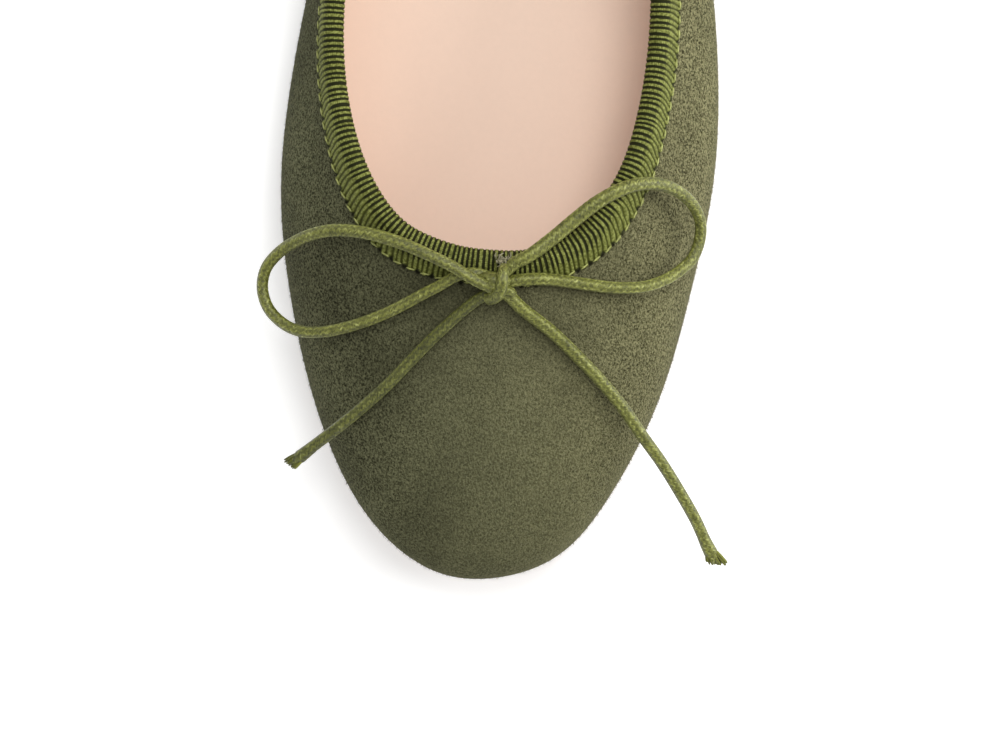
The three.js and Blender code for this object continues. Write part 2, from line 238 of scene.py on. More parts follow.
def wall_point(t, v):
    """The upper's outer face. v is -2 at the lasting margin's inner edge, -1 at the feather edge, 0 at the
    widest line and 1 at the topline."""
    t, v = np.broadcast_arrays(np.asarray(t, float), np.asarray(v, float))
    feather = SOLE_THICKNESS + CLEARANCE
    turn = (np.clip(v, -1, 0) + 1) * math.pi / 2
    inset = tuck_at(t) * (1 - np.sin(turn)) + np.clip(-1 - v, 0, None) * LASTING_MARGIN
    low = sole_point(t, inset, feather + cheek_at(t) * (1 - np.cos(turn)))
    wide = sole_point(t, np.zeros(t.shape), feather + cheek_at(t))
    top_z = THROAT_HEIGHT + (BACK_HEIGHT - THROAT_HEIGHT) * column["topZ"](t)
    top = np.concatenate([topline(t), top_z[..., None]], axis=-1)
    slope = np.radians(column["slope"](t))
    lean = np.concatenate([inward(topline, t) * np.cos(slope)[..., None], np.sin(slope)[..., None]], axis=-1)
    chord = np.linalg.norm(top - wide, axis=-1)
    lower = wide.copy()
    lower[..., 2] += (top_z - wide[..., 2]) * column["rise"](t)
    upper = top - lean * (chord * column["reach"](t))[..., None]
    w = np.clip(v, 0, 1)[..., None]
    high = wide * (1 - w) ** 3 + 3 * lower * w * (1 - w) ** 2 + 3 * upper * w * w * (1 - w) + top * w ** 3
    return np.where(v[..., None] < 0, low, high)


def bell(values, centre, width):
    return np.exp(-((values - centre) / width) ** 2)


def unit(vectors):
    return vectors / np.maximum(np.linalg.norm(vectors, axis=-1, keepdims=True), 1e-12)


def wall_axes(t, v):
    """Unit vectors at the outer face: out of the shoe, and up along the wall."""
    h = 0.004
    along = wall_point(t + h, v) - wall_point(t - h, v)
    up = unit(wall_point(t, np.minimum(v + h, 1)) - wall_point(t, np.maximum(v - h, -2)))
    return unit(np.cross(along, up)), up


def wall_offset(t, v, distance):
    out, _ = wall_axes(t, v)
    return wall_point(t, v) + out * np.asarray(distance)[..., None]


def run_up(points):
    """Length run along an open row of points up to each of them."""
    return np.concatenate([[0], np.cumsum(np.linalg.norm(np.diff(points, axis=0), axis=1))])


def run_along(points):
    """Length run along a closed row of points up to each of them, and once more at the start."""
    return run_up(np.concatenate([points, points[:1]]))


def steps_round(v, count):
    """Steps t round the shoe at equal distances along the wall's line v."""
    t = np.linspace(0, ROW_COUNT, 4001)
    p = wall_point(t, np.full(t.shape, float(v)))
    run = run_up(p)
    return np.interp(np.arange(count) / count * run[-1], run, t)


# Meshes

def linked(name, data):
    made = bpy.data.objects.new(name, data)
    bpy.context.scene.collection.objects.link(made)
    return made


def set_attribute(mesh, name, values):
    mesh.attributes.new(name, "FLOAT", "POINT").data.foreach_set("value", np.asarray(values, float).ravel())


def mesh_piece(name, points, faces, attributes=None):
    """A smooth-shaded object from points in millimetres and faces, with float attributes on its points."""
    mesh = bpy.data.meshes.new(name)
    mesh.from_pydata((np.asarray(points, float) * MM).tolist(), [], faces)
    for key, values in (attributes or {}).items():
        set_attribute(mesh, key, values)
    mesh.polygons.foreach_set("use_smooth", [True] * len(mesh.polygons))
    mesh.update()
    return linked(name, mesh)


def grid_faces(rings, count, join_rings=True, join_points=True):
    """Faces between rings of count points each. The rings, and the points of each, close on themselves
    where they are joined."""
    i = np.arange(rings if join_rings else rings - 1)[:, None]
    j = np.arange(count if join_points else count - 1)[None, :]
    far, after = (i + 1) % rings, (j + 1) % count
    corners = (i * count + j, far * count + j, far * count + after, i * count + after)
    return np.stack(np.broadcast_arrays(*corners), -1).reshape(-1, 4).tolist()


def band_piece(name, sections, attributes=None):
    """A band that closes on itself, from sections of shape (rings, points, 3)."""
    return mesh_piece(name, sections.reshape(-1, 3), grid_faces(*sections.shape[:2]), attributes)


def merged(piece, distance=0.02):
    """Join points of the piece that lie within a distance in millimetres."""
    work = bmesh.new()
    work.from_mesh(piece.data)
    bmesh.ops.remove_doubles(work, verts=work.verts, dist=distance * MM)
    bmesh.ops.recalc_face_normals(work, faces=work.faces)
    work.to_mesh(piece.data)
    work.free()
    piece.data.polygons.foreach_set("use_smooth", [True] * len(piece.data.polygons))
    return piece


# How far out from the middle a plate's inner faces reach before its edge takes over.
PLATE_REACH = 0.985


def plate_piece(name, rings, middle, heights, shares):
    """A closed plate: outer rings of points, lowest first, and faces between each end ring and the shoe's
    middle. heights gives the lower and the upper face's height at (x, y, share)."""
    def face(ring, height):
        spine = middle(ring)
        layers = []
        for share in shares:
            xy = spine + (ring[:, :2] - spine) * share
            layers.append(np.concatenate([xy, height(xy[:, 0], xy[:, 1], share)[:, None]], axis=1))
        return layers

    low, high = heights
    layers = face(rings[0], low) + list(rings) + face(rings[-1], high)[::-1]
    sections = np.stack(layers, axis=1)
    faces = grid_faces(*sections.shape[:2], join_points=False)
    piece = merged(mesh_piece(name, sections.reshape(-1, 3), faces))
    piece.data.set_sharp_from_angle(angle=math.radians(40))
    return piece


def settle(piece, slot, *nodes, material=None):
    """Ride the piece on the shoe, give it its material if one is given, and hide the solids that it stands
    for; slot is not used.
    """
    if material is not None:
        piece.data.materials.append(material)
    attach(piece, "root")
    if nodes:
        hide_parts(*nodes)
    return piece


# Node trees

def node(tree, kind, inputs=None, **settings):
    """Add a node, with its settings and its inputs as values or as links from sockets."""
    made = tree.nodes.new(kind)
    for key, value in settings.items():
        setattr(made, key, value)
    for key, value in (inputs or {}).items():
        if isinstance(value, bpy.types.NodeSocket):
            tree.links.new(value, made.inputs[key])
        else:
            made.inputs[key].default_value = value
    return made


def maths(tree, operation, a, b=None, c=None):
    given = {i: value for i, value in enumerate((a, b, c)) if value is not None}
    return node(tree, "ShaderNodeMath", given, operation=operation).outputs[0]


def off_middle(tree, share):
    """How far a share of 0 to 1 lies off the middle, from 0 to 1."""
    return maths(tree, "ABSOLUTE", maths(tree, "MULTIPLY_ADD", share, 2.0, -1.0))


def mix_colour(tree, share, a, b, blend="MIX"):
    inputs = {0: share, 6: a, 7: b}
    return node(tree, "ShaderNodeMix", inputs, data_type="RGBA", blend_type=blend).outputs[2]


def mix_value(tree, share, a, b):
    return node(tree, "ShaderNodeMix", {0: share, 2: a, 3: b}, data_type="FLOAT").outputs[0]


def remap(tree, value, low, high, to_low=0.0, to_high=1.0):
    inputs = {"Value": value, "From Min": low, "From Max": high, "To Min": to_low, "To Max": to_high}
    return node(tree, "ShaderNodeMapRange", inputs, clamp=True).outputs[0]


def noise(tree, position, scale, detail=2.0, roughness=0.5, distortion=0.0):
    inputs = {"Vector": position, "Scale": scale, "Detail": detail}
    inputs.update({"Roughness": roughness, "Distortion": distortion})
    return node(tree, "ShaderNodeTexNoise", inputs).outputs["Fac"]


def attribute(tree, name):
    return node(tree, "ShaderNodeAttribute", attribute_name=name).outputs["Fac"]


def object_position(tree, stretch=(1, 1, 1), turn=(0, 0, 0)):
    here = node(tree, "ShaderNodeTexCoord").outputs["Object"]
    return node(tree, "ShaderNodeMapping", {"Vector": here, "Scale": stretch, "Rotation": turn}).outputs[0]


def axes(tree, vector):
    return node(tree, "ShaderNodeSeparateXYZ", {0: vector}).outputs


def run_axes(tree):
    """The way along the topline as X and down from it as Y, from the piece's own map."""
    return axes(tree, node(tree, "ShaderNodeUVMap", uv_map="run").outputs[0])


def vector_maths(tree, operation, a, b):
    inputs = {0: a, "Scale" if operation == "SCALE" else 1: b}
    made = node(tree, "ShaderNodeVectorMath", inputs, operation=operation)
    return made.outputs["Value" if operation == "DISTANCE" else 0]


def chance(tree, whole):
    """A random value of 0 to 1 for each whole number."""
    return node(tree, "ShaderNodeTexWhiteNoise", {"W": whole}, noise_dimensions="1D").outputs["Value"]


def bump(tree, height, strength, distance):
    inputs = {"Height": height, "Strength": strength, "Distance": distance * MM}
    return node(tree, "ShaderNodeBump", inputs).outputs[0]


def finish_material(made, colour, roughness=0.6, normal=None, **shader_values):
    """Close a material's tree with its shader. Shader values are set on the shader's own sockets."""
    tree = made.node_tree
    shader = node(tree, "ShaderNodeBsdfPrincipled", {"Base Color": colour, "Roughness": roughness})
    if normal is not None:
        tree.links.new(normal, shader.inputs["Normal"])
    for key, value in shader_values.items():
        shader.inputs[key.replace("_", " ")].default_value = value
    node(tree, "ShaderNodeOutputMaterial", {"Surface": shader.outputs[0]})
    return made


def start_material(name):
    made = bpy.data.materials.new(name)
    made.use_nodes = True
    made.node_tree.nodes.clear()
    return made, made.node_tree


def linear(red, green, blue):
    """Linear colour from sRGB values of 0 to 255."""
    def channel(value):
        s = value / 255
        return s / 12.92 if s <= 0.04045 else ((s + 0.055) / 1.055) ** 2.4

    return (channel(red), channel(green), channel(blue))


def tone(colour, factor, lift=0.0):
    """A darker or lighter tone of a linear colour; lift adds grey, or takes it away and leaves it warmer."""
    return (*(max(0.0, min(1.0, c * factor + lift)) for c in colour), 1.0)


def geometry_tree(name, floats):
    """A new geometry tree with a Geometry input and output, and named float inputs with their defaults."""
    tree = bpy.data.node_groups.new(name, "GeometryNodeTree")
    tree.interface.new_socket("Geometry", in_out="INPUT", socket_type="NodeSocketGeometry")
    tree.interface.new_socket("Geometry", in_out="OUTPUT", socket_type="NodeSocketGeometry")
    for key, value in floats.items():
        socket = tree.interface.new_socket(key, in_out="INPUT", socket_type="NodeSocketFloat")
        socket.default_value = value
    return tree, node(tree, "NodeGroupInput")


def carried(tree, name, kind="FLOAT"):
    return node(tree, "GeometryNodeInputNamedAttribute", {"Name": name}, data_type=kind).outputs[0]


def stored(tree, geometry, name, value, domain="POINT"):
    inputs = {"Geometry": geometry, "Name": name, "Value": value}
    return node(tree, "GeometryNodeStoreNamedAttribute", inputs, data_type="FLOAT", domain=domain).outputs[0]


def random_value(tree, low, high, seed):
    inputs = {2: low, 3: high, "Seed": seed}
    return node(tree, "FunctionNodeRandomValue", inputs, data_type="FLOAT").outputs[1]


def raised(tree, geometry, height):
    """Move a surface's points out along its normals."""
    offset = vector_maths(tree, "SCALE", node(tree, "GeometryNodeInputNormal").outputs[0], height)
    return node(tree, "GeometryNodeSetPosition", {"Geometry": geometry, "Offset": offset}).outputs[0]


def end_tree(tree, geometry, material):
    """End a tree in Realize Instances and Set Material."""
    real = node(tree, "GeometryNodeRealizeInstances", {"Geometry": geometry}).outputs[0]
    finished = node(tree, "GeometryNodeSetMaterial", {"Geometry": real, "Material": material}).outputs[0]
    node(tree, "NodeGroupOutput", {0: finished})


def grown(source, tree, values, name):
    """Run a geometry tree on an object and keep the result as a plain mesh piece."""
    modifier = source.modifiers.new("Grow", "NODES")
    modifier.node_group = tree
    sockets = {item.name: item.identifier for item in tree.interface.items_tree if item.in_out == "INPUT"}
    for key, value in values.items():
        modifier[sockets[key]] = value
    depsgraph = bpy.context.evaluated_depsgraph_get()
    mesh = bpy.data.meshes.new_from_object(source.evaluated_get(depsgraph), depsgraph=depsgraph)
    mesh.name = name
    bpy.data.objects.remove(source)
    return linked(name, mesh)


# Finishes

def suede_shade(tree):
    """The suede's grain from 0 to 1, of fine mottles and short curled fibres, and its level of tone: patches
    of nap brushed one way or the other, with painted light that makes the outer side and the vamp lighter,
    and painted shade on the inner side back from the vamp."""
    here = object_position(tree)
    lying = object_position(tree, stretch=(1.0, 0.8, 1.0), turn=(0, 0, 0.35))
    broad = remap(tree, noise(tree, here, 26, 2.0, 0.45, 0.4), 0.34, 0.66)
    clouds = remap(tree, noise(tree, here, 110, 3.0, 0.55, 0.5), 0.3, 0.7)
    mottles = remap(tree, noise(tree, lying, 2600, 2.0, 0.6, 0.3), 0.36, 0.64)
    fibres = remap(tree, noise(tree, lying, 5600, 1.0, 0.5), 0.32, 0.68)
    curls = maths(tree, "ABSOLUTE", maths(tree, "SUBTRACT", noise(tree, lying, 1250, 0.0, 0.5, 1.2), 0.5))
    curls = maths(tree, "MULTIPLY", remap(tree, curls, 0.0, 0.045, 1.0, 0.0), remap(tree, mottles, 0.3, 0.7))
    place = axes(tree, here)
    vamp = vector_maths(tree, "DISTANCE", here, (0.003, -0.084, 0.036))
    grain = maths(tree, "MULTIPLY_ADD", fibres, 0.38, maths(tree, "MULTIPLY_ADD", mottles, 0.42, -0.4))
    grain = maths(tree, "MULTIPLY_ADD", curls, 0.2, grain)
    rough = remap(tree, maths(tree, "ABSOLUTE", place["X"]), 0.012, 0.036, 0.9, 2.2)
    shade = maths(tree, "MULTIPLY_ADD", grain, rough, 0.48)
    level = maths(tree, "MULTIPLY_ADD", broad, 0.3, 0.71)
    level = maths(tree, "MULTIPLY_ADD", clouds, 0.22, level)
    # Painted light: lighter towards the outer side, where the lamps stand.
    level = maths(tree, "ADD", level, remap(tree, place["X"], -0.012, 0.038, 0.0, 0.42))
    # Painted shade: darker on the inner side, back from the vamp.
    inner = remap(tree, place["X"], -0.041, -0.024, -0.12, 0.0)
    level = maths(tree, "MULTIPLY_ADD", inner, remap(tree, place["Y"], -0.08, -0.055), level)
    # Painted light on the top of the vamp.
    level = maths(tree, "ADD", level, remap(tree, vamp, 0.004, 0.028, 0.26, 0.0))
    return shade, level, mottles, fibres


def suede_material(colour, holes):
    """Suede, with the row of needle holes and puckers that draws it in beside the ribbon; the holes and a
    band beside the ribbon's edge are painted dark as shade, and its level of tone carries painted light and
    shade.
    """
    made, tree = start_material("suede")
    shade, level, mottles, fibres = suede_shade(tree)
    painted = mix_colour(tree, shade, tone(colour, 0.2, -0.003), tone(colour, 1.8, 0.013))
    # The level brings painted light on the outer side and the vamp, and painted shade on the inner side.
    painted = mix_colour(tree, 1.0, painted, level, "MULTIPLY")
    across = axes(tree, object_position(tree))["X"]
    # Painted light's hue: greener on the shaded inner side, warmer on the lit outer side.
    painted_light_tint = mix_colour(tree, remap(tree, across, -0.03, 0.03), (0.96, 1.0, 0.96, 1.0), (1.0, 0.975, 0.88, 1.0))
    painted = mix_colour(tree, 1.0, painted, painted_light_tint, "MULTIPLY")

    place = run_axes(tree)
    step = maths(tree, "MULTIPLY", place["X"], float(holes))
    across = maths(tree, "MULTIPLY", maths(tree, "SUBTRACT", maths(tree, "FRACT", step), 0.5), 2.8)
    down = maths(tree, "SUBTRACT", place["Y"], 0.4)
    reach = maths(tree, "ADD", maths(tree, "POWER", across, 2.0), maths(tree, "POWER", down, 2.0))
    reach = maths(tree, "SQRT", reach)
    # Painted shade: the needle holes are painted dark.
    hole = remap(tree, reach, 0.25, 0.6, 0.95, 0.0)
    # Painted shade in a band along the suede just below the ribbon's edge.
    painted_edge_shade = remap(tree, place["Y"], -0.2, 0.6, 0.5, 0.0)
    painted = mix_colour(tree, maths(tree, "MAXIMUM", hole, painted_edge_shade), painted, tone(colour, 0.16))
    wave = maths(tree, "COSINE", maths(tree, "MULTIPLY", step, TAU))
    pucker = maths(tree, "MULTIPLY", wave, remap(tree, place["Y"], 0.0, 2.2, 1.5, 0.0))
    height = maths(tree, "MULTIPLY_ADD", fibres, 0.4, maths(tree, "MULTIPLY", mottles, 0.7))
    height = maths(tree, "ADD", maths(tree, "MULTIPLY_ADD", hole, -2.0, height), pucker)
    normal = bump(tree, height, 0.8, 0.2)
    return finish_material(
        made, painted, 0.95, normal,
        Specular_IOR_Level=0.06, Sheen_Weight=0.06, Sheen_Roughness=0.45,
        Sheen_Tint=(*linear(214, 212, 170), 1.0),
    )


def nap_material(colour):
    """Single fibres of the suede's nap, each a little off the shade of its place, with the suede's painted
    light and shade.
    """
    made, tree = start_material("suede_nap")
    shade, level, _, _ = suede_shade(tree)
    own = attribute(tree, "fibre_shade")
    shade = maths(tree, "MULTIPLY_ADD", own, 0.35, maths(tree, "MULTIPLY", shade, 0.65))
    painted = mix_colour(tree, shade, tone(colour, 0.5), tone(colour, 1.9, 0.02))
    # The level brings painted light on the outer side and the vamp, and painted shade on the inner side.
    painted = mix_colour(tree, 1.0, painted, level, "MULTIPLY")
    return finish_material(
        made, painted, 0.9, None,
        Specular_IOR_Level=0.05, Sheen_Weight=0.05, Sheen_Roughness=0.5,
    )


def lining_material(name, colour, sheen=0.05):
    """Thin smooth leather with a fine pore and slow changes of tone."""
    made, tree = start_material(name)
    here = object_position(tree)
    clouds = remap(tree, noise(tree, here, 22, 3.0, 0.5, 0.3), 0.3, 0.7)
    pores = node(tree, "ShaderNodeTexVoronoi", {"Vector": here, "Scale": 1500.0}).outputs["Distance"]
    grain = noise(tree, here, 900, 3.0, 0.6)
    painted = mix_colour(tree, clouds, tone(colour, 0.965), tone(colour, 1.02))
    painted = mix_colour(tree, remap(tree, grain, 0.35, 0.7, 0.0, 0.12), painted, tone(colour, 0.86))
    height = maths(tree, "MULTIPLY_ADD", pores, 0.6, grain)
    normal = bump(tree, height, 0.12, 0.08)
    return finish_material(made, painted, 0.62, normal, Specular_IOR_Level=0.3, Sheen_Weight=sheen)


# Length in millimetres of one thread's turn over a rib.
BEAD_PITCH = 0.34


def ribbon_material(colour):
    """Ribbed ribbon: fine warp threads over thick ribs, with painted shade in the grooves between the ribs
    and in the gaps that open up over the fold, where it is near black.
    """
    made, tree = start_material("ribbon")
    place = run_axes(tree)
    rib = maths(tree, "FLOOR", place["X"])
    own = chance(tree, rib)
    off = off_middle(tree, maths(tree, "FRACT", place["X"]))
    here = object_position(tree)
    threads = noise(tree, here, 2300, 2.0, 0.6)
    wear = remap(tree, noise(tree, here, 260, 2.0), 0.3, 0.7)
    bead = maths(tree, "MULTIPLY_ADD", own, 0.4, place["Y"])
    beads = maths(tree, "SINE", maths(tree, "MULTIPLY", bead, TAU / BEAD_PITCH))
    front = axes(tree, here)["Y"]
    past = maths(tree, "ADD", place["Y"], remap(tree, front, -0.0615, -0.054, 2.2, -0.25))
    start = remap(tree, past, -0.7, 0.6, 0.8, 0.4)
    ragged = maths(tree, "MULTIPLY_ADD", threads, 0.2, maths(tree, "ADD", off, -0.1))
    ragged = maths(tree, "MULTIPLY_ADD", beads, -0.03, ragged)
    gap = remap(tree, maths(tree, "SUBTRACT", ragged, start), 0.0, 0.16)
    lit = mix_colour(tree, wear, tone(colour, 0.9), tone(colour, 1.25, 0.01))
    lit = mix_colour(tree, maths(tree, "MULTIPLY", own, 0.4), lit, tone(colour, 0.62))
    lit = mix_colour(tree, remap(tree, threads, 0.5, 0.62, 0.0, 0.8), lit, tone(colour, 0.4, -0.006))
    lit = mix_colour(tree, remap(tree, threads, 0.36, 0.47, 0.7, 0.0), lit, tone(colour, 1.6, 0.03))
    lit = mix_colour(tree, remap(tree, beads, -1.0, 0.2, 0.6, 0.0), lit, tone(colour, 0.42, -0.004))
    # Painted shade in the grooves between the ribs.
    lit = mix_colour(tree, remap(tree, ragged, 0.34, 0.72, 0.0, 0.9), lit, tone(colour, 0.3, -0.006))
    # Painted shade in the gaps: dark green low on the outer leg, near black over the fold and at the throat.
    dark = remap(tree, past, -0.9, 0.4)
    dark = mix_colour(tree, dark, tone(colour, 0.26, -0.006), tone(colour, 0.08, -0.001))
    painted = mix_colour(tree, gap, lit, dark)
    # Painted shadow in the notches of the ribbon's edge between the stitches.
    notch_shadow = remap(tree, attribute(tree, "notch_shadow"), 0.45, 0.75, 0.0, 0.9)
    painted = mix_colour(tree, notch_shadow, painted, tone(colour, 0.07))
    height = maths(tree, "MULTIPLY_ADD", beads, 0.25, maths(tree, "MULTIPLY_ADD", gap, -1.6, threads))
    normal = bump(tree, height, 0.5, 0.12)
    return finish_material(made, painted, 0.72, normal, Specular_IOR_Level=0.12)


def thread_material(colour):
    """Twisted sewing thread."""
    made, tree = start_material("thread")
    here = object_position(tree)
    strands = noise(tree, here, 2400, 2.0, 0.6)
    painted = mix_colour(tree, remap(tree, strands, 0.3, 0.7), tone(colour, 0.6), tone(colour, 1.2))
    normal = bump(tree, strands, 0.4, 0.1)
    return finish_material(made, painted, 0.55, normal, Specular_IOR_Level=0.4)


def cord_material(colour):
    """Waxed cotton braid: fine strands with pale fibres along them and a soft waxy light, with painted shade
    in the braid's grooves and on cords that lie in shade.
    """
    made, tree = start_material("waxed_cord")
    braid = attribute(tree, "braid")
    streak = attribute(tree, "streak")
    here = object_position(tree)
    wax = remap(tree, noise(tree, here, 420, 2.0), 0.3, 0.7)
    crest = mix_colour(tree, wax, tone(colour, 0.9), tone(colour, 1.3))
    crest = mix_colour(tree, remap(tree, streak, 0.38, 0.5, 0.95, 0.0), crest, tone(colour, 0.28, -0.004))
    crest = mix_colour(tree, remap(tree, streak, 0.54, 0.64, 0.0, 0.9), crest, tone(colour, 2.1, 0.08))
    # Painted shade in the braid's grooves.
    painted = mix_colour(tree, remap(tree, braid, 0.35, 0.75, 0.6, 0.0), crest, tone(colour, 0.3, -0.004))
    # Painted shade where a cord's points carry it: a little on the knot and most on the inner cut end.
    painted = mix_colour(tree, attribute(tree, "painted_shade"), painted, (0.45, 0.46, 0.4, 1.0), "MULTIPLY")
    height = maths(tree, "MULTIPLY_ADD", streak, 1.4, braid)
    normal = bump(tree, height, 0.5, 0.12)
    return finish_material(
        made, painted, 0.5, normal,
        Specular_IOR_Level=0.4, Coat_Weight=0.08, Coat_Roughness=0.4, Sheen_Weight=0.02,
    )


def strand_material(name, dark, pale):
    """Loose cotton strands, each with its own shade."""
    made, tree = start_material(name)
    own = attribute(tree, "strand")
    fibres = noise(tree, object_position(tree), 2400, 2.0)
    shade = maths(tree, "MULTIPLY_ADD", fibres, 0.5, maths(tree, "SUBTRACT", own, 0.25))
    painted = mix_colour(tree, remap(tree, shade, 0.0, 1.0), tone(dark, 1.0), tone(pale, 1.0))
    normal = bump(tree, fibres, 0.4, 0.1)
    return finish_material(made, painted, 0.75, normal, Specular_IOR_Level=0.2, Sheen_Weight=0.1)


def sole_material(colour):
    """Sole leather: fine grain, faint bands from cutting, a darker edge."""
    made, tree = start_material("sole_leather")
    here = object_position(tree)
    clouds = remap(tree, noise(tree, here, 35, 4.0, 0.6, 0.5), 0.3, 0.7)
    grain = noise(tree, object_position(tree, stretch=(1, 0.5, 1)), 1400, 3.0, 0.6)
    painted = mix_colour(tree, clouds, tone(colour, 0.88), tone(colour, 1.08))
    painted = mix_colour(tree, remap(tree, grain, 0.45, 0.75, 0.0, 0.35), painted, tone(colour, 0.6))
    painted = mix_colour(tree, attribute(tree, "edge"), painted, tone(colour, 0.32))
    normal = bump(tree, grain, 0.2, 0.08)
    return finish_material(made, painted, 0.5, normal, Specular_IOR_Level=0.4)


def stack_material(colour, lift):
    """Stacked heel leather: lifts of slightly different brown with a thin dark line between them."""
    made, tree = start_material("stacked_leather")
    count = maths(tree, "DIVIDE", axes(tree, object_position(tree))["Z"], lift)
    share = maths(tree, "FRACT", count)
    seam = remap(tree, maths(tree, "ABSOLUTE", maths(tree, "SUBTRACT", share, 0.5)), 0.42, 0.5)
    shade = chance(tree, maths(tree, "FLOOR", count))
    fibres = noise(tree, object_position(tree, stretch=(1, 1, 6)), 420, 4.0, 0.65)
    painted = mix_colour(tree, shade, tone(colour, 0.8), tone(colour, 1.3))
    painted = mix_colour(tree, remap(tree, fibres, 0.4, 0.75, 0.0, 0.6), painted, tone(colour, 0.55))
    painted = mix_colour(tree, seam, painted, tone(colour, 0.25))
    height = maths(tree, "MULTIPLY_ADD", seam, -1.0, maths(tree, "MULTIPLY", fibres, 0.3))
    normal = bump(tree, height, 0.35, 0.15)
    return finish_material(made, painted, 0.38, normal, Coat_Weight=0.15, Coat_Roughness=0.3)


def rubber_material(colour):
    """Dense heel rubber with a fine pebble."""
    made, tree = start_material("top_piece_rubber")
    here = object_position(tree)
    pebble = node(tree, "ShaderNodeTexVoronoi", {"Vector": here, "Scale": 900.0}).outputs["Distance"]
    dust = noise(tree, here, 120, 4.0, 0.6)
    painted = mix_colour(tree, remap(tree, dust, 0.4, 0.7), tone(colour, 0.85), tone(colour, 1.25))
    normal = bump(tree, pebble, 0.25, 0.12)
    return finish_material(made, painted, 0.75, normal, Specular_IOR_Level=0.35)


def floor_material():
    made, tree = start_material("floor")
    grain = noise(tree, object_position(tree), 4, 1.0)
    painted = mix_colour(tree, grain, (0.93, 0.93, 0.93, 1), (0.95, 0.95, 0.95, 1))
    return finish_material(
        made, painted, 0.9, None, Specular_IOR_Level=0.1,
        Emission_Color=(1.0, 1.0, 1.0, 1.0), Emission_Strength=0.35,
    )


# Layers of the wall

def set_run_uv(piece, across, down):
    """Give a band a UV map from (rings + 1, points + 1) arrays, so that it runs on over the band's joins."""
    layer = piece.data.uv_layers.new(name="run")
    corners = []
    for values in (across, down):
        four = (values[:-1, :-1], values[1:, :-1], values[1:, 1:], values[:-1, 1:])
        corners.append(np.stack(four, -1).ravel())
    layer.data.foreach_set("uv", np.stack(corners, -1).astype(np.float32).ravel())


def wall_stations(margin, cheek, side):
    """Values of v for the lasting margin, the cheek above the sole and the side up to the topline."""
    return np.concatenate([
        np.linspace(-2, -1, margin)[:-1], np.linspace(-1, 0, cheek)[:-1], np.linspace(0, 1, side),
    ])


def wall_layer(t, v_outer, v_inner, outer, inner):
    """A closed layer of the wall between two offsets from the upper's outer face."""
    up_side = wall_offset(t[:, None], v_outer[None, :], np.broadcast_to(outer, (len(t), len(v_outer))))
    down_side = wall_offset(t[:, None], v_inner[None, ::-1], np.broadcast_to(inner, (len(t), len(v_inner))))
    return np.concatenate([up_side, down_side], axis=1)


def v_at_depths(t, depths):
    """The v at each depth in millimetres below the topline; depths has a row for each step t."""
    v = np.linspace(1, 0, 90)
    p = wall_point(t[:, None], v[None, :])
    run = np.cumsum(np.linalg.norm(np.diff(p, axis=1), axis=2), axis=1)
    run = np.concatenate([np.zeros((len(t), 1)), run], axis=1)
    return np.stack([np.interp(d, r, v) for d, r in zip(depths, run)])


def hem_at(t):
    """Depth of the ribbon's outer edge below the topline, less where the gathers draw it up at the throat."""
    return BINDING_DEPTH - 1.15 * bell(t, ROW_COUNT / 2, 1.7)


def lean_at(t):
    """How far the ribs' lower ends lie ahead along the outer leg, which is eased round the throat."""
    return 1.1 * bell(t, 8.6, 1.9) - 1.7 * bell(t, 15.4, 1.9)


def stitch_line(t):
    """The line on the outer face along which the ribbon is sewn down, over its edge."""
    v = v_at_depths(t, hem_at(t)[:, None])[:, 0]
    out, _ = wall_axes(t, v)
    return wall_point(t, v) + out * RIBBON_FACE, out


def stitch_count(pitch):
    line, _ = stitch_line(np.linspace(0, ROW_COUNT, 1200, endpoint=False))
    return round(run_along(line)[-1] / pitch)


def make_upper(sizes, colours):
    """The suede: one cover with a seam up the heel's middle, its margin turned in over the sole."""
    t = steps_round(0.0, 460)
    near = np.array([0.0, 0.12, 0.25, 0.4, 0.6, 0.9, 1.3, 1.8, 2.4]) * t[1] / 1.25
    clear = (t > near[-1] * 1.2) & (t < ROW_COUNT - near[-1] * 1.2)
    t = np.concatenate([near, t[clear], ROW_COUNT - near[:0:-1]])
    v_outer = wall_stations(5, 17, 49)
    v_inner = wall_stations(4, 7, 13)
    seam_run = np.where(t > ROW_COUNT / 2, t - ROW_COUNT, t) / near[1] * 0.12
    groove = 0.16 * bell(np.abs(seam_run), 1.5, 0.9) - 0.42 * bell(seam_run, 0, 0.32)
    rises = np.clip((v_outer + 0.95) / 0.3, 0, 1)
    outer = groove[:, None] * rises[None, :]
    p = wall_point(t[:, None], v_outer[None, :])
    x, y = p[..., 0], p[..., 1]
    swell = np.sin(x * 0.11 + 1.3) * np.sin(y * 0.083 + 0.4) + 0.6 * np.sin(y * 0.17 + x * 0.05)
    outer = outer + 0.12 * swell * np.sin(np.clip(v_outer, 0, 1) * math.pi)[None, :]
    sections = wall_layer(t, v_outer, v_inner, outer, -SUEDE_THICKNESS)
    piece = band_piece("suede_upper", sections)

    edge, _ = stitch_line(t)
    run = run_along(edge)
    rows = sections.shape[1]
    depth = np.zeros((len(t), rows))
    steps = np.linalg.norm(np.diff(sections[:, :len(v_outer)], axis=1), axis=2)
    depth[:, :len(v_outer) - 1] = np.cumsum(steps[:, ::-1], axis=1)[:, ::-1]
    depth -= hem_at(t)[:, None]
    depth = np.concatenate([depth, depth[:, :1]], axis=1)
    depth = np.concatenate([depth, depth[:1]], axis=0)
    set_run_uv(piece, np.repeat(run[:, None] / run[-1], rows + 1, axis=1), depth)
    suede = suede_material(colours.suede[:], stitch_count(sizes.stitch_pitch / MM))
    return settle(piece, "suede", "upper", material=suede)


# A nap fibre's radius as a share of its length.
NAP_SLENDERNESS = 0.07


